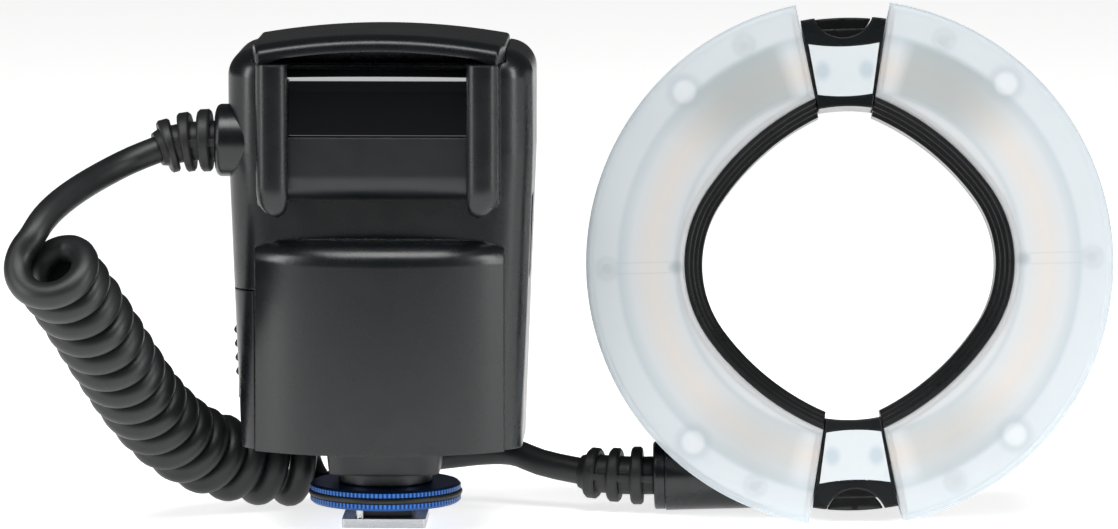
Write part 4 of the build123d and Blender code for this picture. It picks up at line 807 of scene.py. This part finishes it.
# %% Give the finishes
finishes = {
    satin_abs: ["front_shell", "rear_shell", "top_cap", "battery_door", "unit_gland",
                "lamp_chassis", "cable_housing", "cable_collar", "right_rear_shell",
                "left_rear_shell"],
    grained_abs: ["front_panel", "foot_base", "mount_ring"],
    polished_abs: ["top_release_button", "bottom_release_button", "arrow_up_button",
                   "arrow_down_button", "arrow_left_button", "arrow_right_button", "set_button",
                   "power_button", "test_button"],
    rim_abs: ["right_rim", "left_rim", "top_latch_ring", "bottom_latch_ring"],
    soft_rubber: ["lock_ring_seal", "socket_cover", "unit_strain_relief", "lamp_strain_relief",
                  "cord_left", "cord_coil", "cord_right"],
    white_moulding: ["right_reflector", "left_reflector"],
    grey_moulding: ["battery_magazine", "socket_block", "flash_capacitor"],
    window_gloss: ["sensor_window"],
    brushed_steel: ["foot_plate"],
    plated_brass: ["contact_pins", "battery_contacts"],
    blackened_steel: ["unit_screws", "lamp_screws"],
    nickel: ["lock_pin"],
    anodised: ["lock_ring"],
    opal: ["right_diffuser", "left_diffuser"],
    opal_window: ["top_lamp_window", "bottom_lamp_window"],
    glass: ["right_flash_tube", "left_flash_tube", "display_cover"],
    board_green: ["main_board", "receiver_board", "top_led_board", "bottom_led_board"],
    cell_sleeve: ["battery_cells"],
    crystal: ["display_panel"],
}
painted = set()
for material, names in finishes.items():
    for name in names:
        nodes[name].data.materials.clear()
        nodes[name].data.materials.append(material)
        painted.add(name)
cord.data.materials.append(sheath)
print("CAD pieces without a finish:", sorted(set(nodes) - painted))

# %% [markdown]
# ## Modelling helpers
# New pieces start as a primitive and are shaped in edit mode. Faces and points are chosen by
# where they lie, so a step can be read without opening the file in a window.

# %% Shape helpers
def edit(piece):
    """Open a piece in edit mode with nothing selected."""
    deselect()
    bpy.context.view_layer.objects.active = piece
    piece.select_set(True)
    bpy.ops.object.mode_set(mode="EDIT")
    bpy.context.tool_settings.mesh_select_mode = (True, False, False)
    bpy.ops.mesh.select_all(action="DESELECT")


def choose(piece, kind, test):
    """Select the faces or verts whose middle passes the test."""
    form = bmesh.from_edit_mesh(piece.data)
    bpy.context.tool_settings.mesh_select_mode = [kind == "verts", False, kind == "faces"]
    for part in getattr(form, kind):
        middle = part.co if kind == "verts" else part.calc_center_median()
        part.select_set(bool(test(middle, part)))
    form.select_flush_mode()
    bmesh.update_edit_mesh(piece.data)


def settle(piece, name, finish, body, stands_for=(), smooth=40):
    """Leave edit mode, put the place in the mesh, give finish and body, and hide the CAD nodes it
    stands for.
    """
    deselect()
    bpy.context.view_layer.objects.active = piece
    piece.select_set(True)
    bpy.ops.object.transform_apply(location=True, rotation=True, scale=True)
    bpy.ops.object.mode_set(mode="EDIT")
    bpy.ops.mesh.select_all(action="SELECT")
    bpy.ops.mesh.normals_make_consistent(inside=False)
    bpy.ops.object.mode_set(mode="OBJECT")
    bpy.ops.object.shade_smooth_by_angle(angle=radians(smooth))
    # Large flat faces keep their own direction, so only the rounded edges shade softly.
    even = piece.modifiers.new("even_shading", "WEIGHTED_NORMAL")
    even.keep_sharp = True
    bpy.ops.object.modifier_apply(modifier=even.name)
    piece.name = name
    piece.data.name = name
    piece.data.materials.clear()
    piece.data.materials.append(finish)
    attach(piece, body)
    if stands_for:
        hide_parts(*stands_for)
    deselect()
    print(name, "faces:", len(piece.data.polygons))


def round_edges(piece, width, segments=3, angle=30):
    """A bevel modifier on the sharp edges, applied."""
    deselect()
    bpy.context.view_layer.objects.active = piece
    piece.select_set(True)
    softening = piece.modifiers.new("softening", "BEVEL")
    softening.width = width
    softening.segments = segments
    softening.limit_method = "ANGLE"
    softening.angle_limit = radians(angle)
    bpy.ops.object.modifier_apply(modifier=softening.name)


# %% [markdown]
# ## Hood
# The hood is a separate moulding that shades the infrared window. Its top is domed both ways, its
# front lip is thin and its two ends slope down behind the pillars. A bevelled block has none of
# this, so a block is cut into a fine grid, and then each grid point is moved to the height that the
# dome and the sloping ends have.

# %% Hood sizes
hood_low, hood_high = [Vector(v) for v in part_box("top_cap")]
hood_middle = (hood_low + hood_high) / 2
hood_size = hood_high - hood_low
hood_columns, hood_rows = 64, 40
hood_drop = 2.4 * MM
hood_nose_share = 0.7  # how much of that drop the nose has
hood_lip = 2.3 * MM
hood_nose = 3.4 * MM
hood_tail = 2 * hood_nose
hood_slope = 5.2 * MM
hood_margin = 1.2 * MM
hood_cavity = 6.5 * MM
hood_cavity_run = 1.5 * MM
hood_lean_run = 9 * MM
hood_lean_share = 0.045
hood_edge = 0.7 * MM


def hood_top(place):
    """Height of the hood's outer skin over a point."""
    across = (place.x - hood_middle.x) / (hood_size.x / 2)
    ahead = max(hood_low.y + hood_nose - place.y, 0) / hood_nose
    behind = max(place.y - (hood_high.y - hood_tail), 0) / hood_tail
    return (hood_high.z - hood_drop * across**2 - hood_drop * hood_nose_share * ahead**2
            - hood_drop * behind**2)


def hood_under(place):
    """Height of its lower side: a thin lip in the middle, deep ends at the pillars."""
    across = abs(place.x - hood_middle.x)
    start = hood_size.x / 2 - hood_slope - hood_margin
    share = min(max((across - start) / hood_slope, 0), 1)
    rear = min(max((place.y - (hood_low.y + hood_cavity)) / hood_cavity_run, 0), 1)
    lip = hood_top(place) - hood_lip
    return lip + (hood_low.z - lip) * max(ease(share), rear)


print("hood, mm:", [round(v / MM, 1) for v in hood_size])

# %% Hood
bpy.ops.mesh.primitive_grid_add(x_subdivisions=hood_columns, y_subdivisions=hood_rows, size=1,
                                location=hood_middle)
hood = bpy.context.object
hood.scale = (hood_size.x, hood_size.y, 1)
bpy.ops.object.transform_apply(location=True, rotation=True, scale=True)
edit(hood)
choose(hood, "faces", lambda middle, part: True)
bpy.ops.mesh.extrude_region_move(TRANSFORM_OT_translate={"value": (0, 0, -hood_size.z)})
bpy.ops.object.mode_set(mode="OBJECT")
for point in hood.data.vertices:
    is_top = point.co.z > hood_middle.z - hood_size.z / 2
    point.co.z = hood_top(point.co) if is_top else hood_under(point.co)
    # The ends lean inwards towards the front, so the hood is narrower at its lip.
    lean = min(max((hood_low.y + hood_lean_run - point.co.y) / hood_lean_run, 0), 1)
    narrowing = 1 - hood_lean_share * lean
    point.co.x = hood_middle.x + (point.co.x - hood_middle.x) * narrowing
round_edges(hood, hood_edge)
settle(hood, "moulded_hood", satin_abs, "unit", ["top_cap"])

# %% [markdown]
# ## Infrared window
# The window is one plate of black-dyed acrylic that rolls back under the hood in a wide curve.
# The curve is what catches the overhead light as a bright band, so its radius matters more than
# anything else on it. A strip is extruded step by step round the curve and then thickened, which
# keeps the plate the same thickness all the way round.

# %% Infrared window
window_low, window_high = [Vector(v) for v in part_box("sensor_window")]
window_roll = 5.8 * MM
window_top = window_high.z
window_plate = 1.6 * MM
window_edge = 0.35 * MM
roll_steps = 14
bpy.ops.mesh.primitive_plane_add(size=1, location=(0, window_low.y, window_low.z))
window = bpy.context.object
window.scale = (window_high.x - window_low.x, 1, 1)
bpy.ops.object.transform_apply(location=True, rotation=True, scale=True)
edit(window)
choose(window, "verts", lambda middle, part: middle.y > window_low.y)
bpy.ops.mesh.delete(type="VERT")
bpy.ops.mesh.select_all(action="SELECT")
bpy.ops.mesh.extrude_region_move(
    TRANSFORM_OT_translate={"value": (0, 0, window_top - window_roll - window_low.z)})
for step in range(roll_steps):
    before = radians(90 * step / roll_steps)
    after = radians(90 * (step + 1) / roll_steps)
    bpy.ops.mesh.extrude_region_move(TRANSFORM_OT_translate={"value": (
        0, window_roll * (cos(before) - cos(after)), window_roll * (sin(after) - sin(before)))})
bpy.ops.object.mode_set(mode="OBJECT")
offset = window_low.y - min(v.co.y for v in window.data.vertices)
for point in window.data.vertices:
    point.co.y += offset
thickness = window.modifiers.new("plate", "SOLIDIFY")
thickness.thickness = window_plate
thickness.offset = 1 if window.data.polygons[0].normal.y > 0 else -1
bpy.ops.object.modifier_apply(modifier="plate")
round_edges(window, window_edge, segments=2)
settle(window, "rolled_infrared_window", window_gloss, "unit", ["sensor_window"], smooth=50)
print("window, mm:", [round(v / MM, 1) for v in (*window.bound_box[0], *window.bound_box[6])])

# %% [markdown]
# ## Strain reliefs
# A strain relief is soft rubber moulded onto the cord. Thin discs stand on a sleeve, with open
# slots between them, and a small web joins each disc to the next so the sleeve bends evenly. Each
# one is drawn straight, as a circle extruded and resized step by step, and then bent in code, so
# that its discs stay square to the cord all along the bend.

# %% Sizes of the strain reliefs
relief_sides = 40
sleeve_radius, sleeve_tip, sleeve_rest = 4.3 * MM, 3.75 * MM, 1.2 * MM
disc_thickness, disc_edge = 2.5 * MM, 0.45 * MM
slot_share = 0.85  # the first slot is a little narrower than the others
tip_run, tip_step = 0.8 * MM, 0.3 * MM
pinhole = 0.1 * MM
web_width, web_height, web_bite, web_sink = 1.7 * MM, 1.9 * MM, 0.8 * MM, 1.5 * MM
web_edge = 0.3 * MM
bend_reach_share = 0.36


def bent(start, way, end, end_way, share):
    """A point and direction on the smooth line from the housing to the cord."""
    reach_out = (end - start).length * bend_reach_share
    a, b, c, d = start, start + way * reach_out, end - end_way * reach_out, end
    one = 1 - share
    place = a * one**3 + b * 3 * one**2 * share + c * 3 * one * share**2 + d * share**3
    ahead = (b - a) * one**2 + (c - b) * 2 * one * share + (d - c) * share**2
    return place, ahead.normalized()


print("sleeve, mm:", round(2 * sleeve_radius / MM, 1))

# %% One strain relief
def relief_outline(discs, length):
    """The (place, radius) steps along a sleeve and its discs, and the slots that get webs."""
    slot = (length - len(discs) * disc_thickness - sleeve_rest) / len(discs)
    steps = [(0, pinhole), (0, sleeve_radius)]
    along = slot * slot_share
    webs = []
    for radius in discs:
        webs.append((along - slot * slot_share, along, radius))
        steps += [(along, sleeve_radius), (along, radius - disc_edge), (along + disc_edge, radius),
                  (along + disc_thickness - disc_edge, radius),
                  (along + disc_thickness, radius - disc_edge),
                  (along + disc_thickness, sleeve_radius)]
        along += disc_thickness + slot
    steps += [(length - tip_run, sleeve_tip + tip_step), (length, sleeve_tip), (length, pinhole)]
    return steps, webs


def ribbed_relief(name, start, way, end, end_way, discs, length, stands_for):
    """Sleeve, discs and webs of one strain relief, bent from start to end."""
    steps, webs = relief_outline(discs, length)
    bpy.ops.mesh.primitive_circle_add(vertices=relief_sides, radius=steps[0][1],
                                      location=(0, 0, 0))
    piece = bpy.context.object
    edit(piece)
    bpy.ops.mesh.select_all(action="SELECT")
    for (was, before), (now, after) in zip(steps, steps[1:]):
        bpy.ops.mesh.extrude_region_move(
            TRANSFORM_OT_translate={"value": (0, 0, now - was)})
        bpy.ops.transform.resize(value=(after / before, after / before, 1),
                                 center_override=(0, 0, now))
    bpy.ops.mesh.edge_face_add()
    choose(piece, "verts", lambda middle, part: middle.z == 0 and middle.xy.length < 2 * pinhole)
    bpy.ops.mesh.edge_face_add()
    bpy.ops.object.mode_set(mode="OBJECT")
    # Webs across each slot, on the side that faces the front and on the back.
    for low, high, radius in webs:
        for side in (-1, 1):
            bpy.ops.mesh.primitive_cube_add(size=1, location=(0, 0, 0))
            web = bpy.context.object
            web.scale = (web_width, web_height, high - low + web_bite)
            web.location = (0, side * (radius - web_sink), (low + high) / 2)
            bpy.ops.object.transform_apply(location=True, rotation=True, scale=True)
            round_edges(web, web_edge, segments=2)
            piece.select_set(True)
            bpy.context.view_layer.objects.active = piece
            bpy.ops.object.join()
    # Bend: each point goes to its place beside the smooth line.
    for point in piece.data.vertices:
        share = min(max(point.co.z / length, 0), 1)
        middle, ahead = bent(start, way, end, end_way, share)
        upwards = (Vector((0, 0, 1)) - ahead * ahead.z).normalized()
        sideways = ahead.cross(upwards)
        side_sign = -1 if sideways.y > 0 else 1
        point.co = middle + upwards * point.co.x - sideways * side_sign * point.co.y
    settle(piece, name, soft_rubber, "unit", stands_for, smooth=35)


# %% [markdown]
# ### Gland on the unit
# The gland is a short moulded collar that holds the strain relief in the housing. It starts as a
# cylinder, and its outer end is inset and pushed in a little, which leaves the rim that catches
# light.

# %% Gland
gland_low, gland_high = [Vector(v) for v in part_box("unit_gland")]
gland_line = -14.5 * MM
gland_length, gland_overhang = 8.6 * MM, 4.1 * MM
gland_rim, gland_dish, gland_edge = 1.3 * MM, 0.5 * MM, 0.8 * MM
gland_middle = Vector((gland_low.x, gland_line, (gland_low.z + gland_high.z) / 2))
gland_radius = (gland_high.z - gland_low.z) / 2
bpy.ops.mesh.primitive_cylinder_add(vertices=64, radius=gland_radius, depth=gland_length,
                                    location=gland_middle + Vector((gland_overhang, 0, 0)),
                                    rotation=(0, radians(-90), 0))
gland = bpy.context.object
edit(gland)
choose(gland, "faces", lambda middle, part: middle.z > 4 * MM)
bpy.ops.mesh.inset(thickness=gland_rim)
bpy.ops.transform.translate(value=(-gland_dish, 0, 0))
bpy.ops.object.mode_set(mode="OBJECT")
round_edges(gland, gland_edge, segments=4)
settle(gland, "moulded_gland", satin_abs, "unit", ["unit_gland"])

# %% Strain relief on the unit
left_exit = Vector(left_end_mm[0]) * MM
left_way = (Vector(left_end_mm[1]) - Vector(left_end_mm[0])).normalized()
unit_discs = [6.9 * MM, 6.6 * MM, 6.0 * MM]
relief_seat = 0.2 * MM
unit_side = gland_middle + Vector((-relief_seat, 0, 0))
ribbed_relief("unit_ribbed_relief", unit_side, Vector((-1, 0, 0)), left_exit, left_way,
              unit_discs, (left_exit - unit_side).length, ["unit_strain_relief"])

# %% Strain relief on the lamp
right_exit = Vector((43.317, 20.208, 8.651)) * MM
right_way = Vector((-0.9435, 0.3209, 0.0821))
lamp_side = Vector((59.52, 17.56, 8.2)) * MM
lamp_side_way = Vector((-0.9996, -0.0038, -0.0277))
lamp_discs = [6.55 * MM, 6.1 * MM, 5.75 * MM]
lamp_relief_length = 16.4 * MM
ribbed_relief("lamp_ribbed_relief", lamp_side, lamp_side_way, right_exit, right_way,
              lamp_discs, lamp_relief_length, ["lamp_strain_relief"])

# %% [markdown]
# ## Inside the lamp halves
# Through the milky front of each half one can just see screw bosses, small locating rings and a
# double rib across the middle. They stand close behind the front skin, so they show as soft, paler
# marks. The rings are thin tori, the bosses are cylinders with an inset well, and the two ribs are
# bars with rounded edges. All of one half is joined in one piece.

# %% Places and sizes of the marks
boss_radius, boss_height, boss_wall_width = 3.1 * MM, 2.2 * MM, 0.8 * MM
boss_well = (0.8, 0.8, 0.55)
boss_edge = 0.25 * MM
locating_radius, locating_thickness = 2.1 * MM, 0.4 * MM
# Places on the lamp are plain millimetres, because lamp_place turns them into metres.
boss_depth, skin_depth = 3.2, 2.9
rib_middle, rib_offset = 45.5, 1.1
rib_size = (13 * MM, 0.55 * MM, 1.2 * MM)
rib_edge = 0.15 * MM


def lamp_place(radius, angle, depth):
    """A point on the lamp: distance from its middle, angle round it and depth, in mm."""
    return (lamp_origin + (lamp_right * cos(radians(angle)) + lamp_up * sin(radians(angle)))
            * radius * MM + lamp_back * depth * MM)


def on_lamp(piece, place):
    """Turn a piece so its Z looks out of the lamp's back, and move it to its place."""
    piece.matrix_world = (Matrix.Translation(place) @ lamp_turn.to_4x4()
                          @ Matrix.Rotation(radians(-90), 4, "X"))


print("first boss, mm:", [round(v / MM, 1) for v in lamp_place(boss_circle, boss_angle, boss_depth)])

# %% Marks inside the lamps
def lamp_marks(side, body):
    """Bosses, rings and the double rib of one half; side is 0 on the right, 180 on the left."""
    made = []
    for offset in (-boss_angle, boss_angle):
        bpy.ops.mesh.primitive_cylinder_add(vertices=32, radius=boss_radius, depth=boss_height)
        boss = bpy.context.object
        edit(boss)
        choose(boss, "faces", lambda middle, part: abs(middle.z) > 1 * MM)
        bpy.ops.mesh.inset(thickness=boss_wall_width)
        bpy.ops.mesh.extrude_region_move(TRANSFORM_OT_translate={"value": (0, 0, 0)})
        bpy.ops.transform.resize(value=boss_well, center_override=(0, 0, 0))
        bpy.ops.object.mode_set(mode="OBJECT")
        round_edges(boss, boss_edge, segments=2)
        on_lamp(boss, lamp_place(boss_circle, side + offset, boss_depth))
        made.append(boss)
    for offset in (-locating_angle, 0, locating_angle):
        bpy.ops.mesh.primitive_torus_add(major_radius=locating_radius,
                                         minor_radius=locating_thickness,
                                         major_segments=32, minor_segments=8)
        ring = bpy.context.object
        on_lamp(ring, lamp_place(locating_circle, side + offset, skin_depth))
        made.append(ring)
    for offset in (-rib_offset, rib_offset):
        bpy.ops.mesh.primitive_cube_add(size=1)
        rib = bpy.context.object
        rib.scale = rib_size
        bpy.ops.object.transform_apply(location=False, rotation=False, scale=True)
        round_edges(rib, rib_edge, segments=2)
        on_lamp(rib, lamp_place(rib_middle, side, skin_depth) + lamp_up * offset * MM)
        made.append(rib)
    deselect()
    for part in made:
        part.select_set(True)
        bpy.context.view_layer.objects.active = part
        bpy.ops.object.transform_apply(location=True, rotation=True, scale=True)
    bpy.ops.object.join()
    settle(bpy.context.object, body + "_inner_marks", white_moulding, body)


lamp_marks(0, "right_half")
lamp_marks(180, "left_half")

# %% [markdown]
# ## Release pads
# A finger presses the ribless black pad in the scooped notch of each end block, and the catch
# behind it lets the adapter go. Its outline is where a finger-sized circle meets the round outside
# of the block, so a fine grid is stretched between those two arcs and then given its depth.

# %% Release pads
notch_radius = 6.75 * MM
notch_level = 57.4 * MM
block_radius = 55.3 * MM
pad_half_width = 6.15 * MM
pad_columns, pad_rows = 28, 4
pad_front, pad_back = 9.6 * MM, 13.5 * MM
pad_dish = 0.7 * MM
pad_edge = 0.25 * MM
for end, body in ((1, "top_release"), (-1, "bottom_release")):
    bpy.ops.mesh.primitive_grid_add(x_subdivisions=pad_columns, y_subdivisions=pad_rows, size=1)
    pad = bpy.context.object
    edit(pad)
    choose(pad, "faces", lambda middle, part: True)
    bpy.ops.mesh.extrude_region_move(TRANSFORM_OT_translate={"value": (0, 0, 1)})
    bpy.ops.object.mode_set(mode="OBJECT")
    for point in pad.data.vertices:
        across = point.co.x * 2 * pad_half_width
        low = notch_level - sqrt(notch_radius**2 - across**2)
        high = sqrt(block_radius**2 - across**2)
        up = end * (low + (high - low) * (point.co.y + 0.5))
        # The pad is dished, so a fingertip finds it.
        dish = pad_dish * (1 - (across / pad_half_width) ** 2)
        depth = pad_front + dish if point.co.z < 0.5 else pad_back
        point.co = lamp_origin + lamp_right * across + lamp_up * up + lamp_back * depth
    round_edges(pad, pad_edge, segments=2)
    settle(pad, body + "_pad", polished_abs, body)

# %% [markdown]
# ## Pillars
# Two rounded pillars frame the window. Their fronts are full, soft curves that carry the long
# upright highlights, and at the bottom each one leans in and dies into the recess. Each is a round
# bar, extruded in steps, that is then flattened, tapered and leaned in code. A bevelled box gives a
# flat front with two thin highlights, which is not how the real ones look.

# %% Pillars
pillar_steps = 36
pillar_sides = 40
pillar_top = 105.2 * MM
pillar_foot = 71.7 * MM
pillar_middle = 22.85 * MM
pillar_width = 3.45 * MM
pillar_depth = 2.5 * MM
pillar_back = -32.4 * MM
foot_share = 0.2  # the lowest part of the pillar, where it dies into the recess
foot_lean, foot_sink = 0.9 * MM, 1.2 * MM
least_taper = 0.02
for side in (-1, 1):
    bpy.ops.mesh.primitive_circle_add(vertices=pillar_sides, radius=1, fill_type="NGON")
    pillar = bpy.context.object
    edit(pillar)
    for step in range(pillar_steps):
        bpy.ops.mesh.select_all(action="DESELECT")
        choose(pillar, "faces", lambda middle, part: len(part.verts) > 4
               and middle.z > step - 0.5)
        bpy.ops.mesh.extrude_region_move(TRANSFORM_OT_translate={"value": (0, 0, 1)})
    bpy.ops.object.mode_set(mode="OBJECT")
    for point in pillar.data.vertices:
        share = point.co.z / pillar_steps
        low = max(1 - share / foot_share, 0)
        taper = sqrt(max(1 - low**3, least_taper))
        lean = foot_lean * low**2
        point.co = Vector((side * (pillar_middle - lean) + point.co.x * pillar_width * taper,
                           pillar_back + foot_sink * low**2 + point.co.y * pillar_depth * taper,
                           pillar_foot + (pillar_top - pillar_foot) * share))
    settle(pillar, "left_pillar" if side < 0 else "right_pillar", satin_abs, "unit", smooth=60)
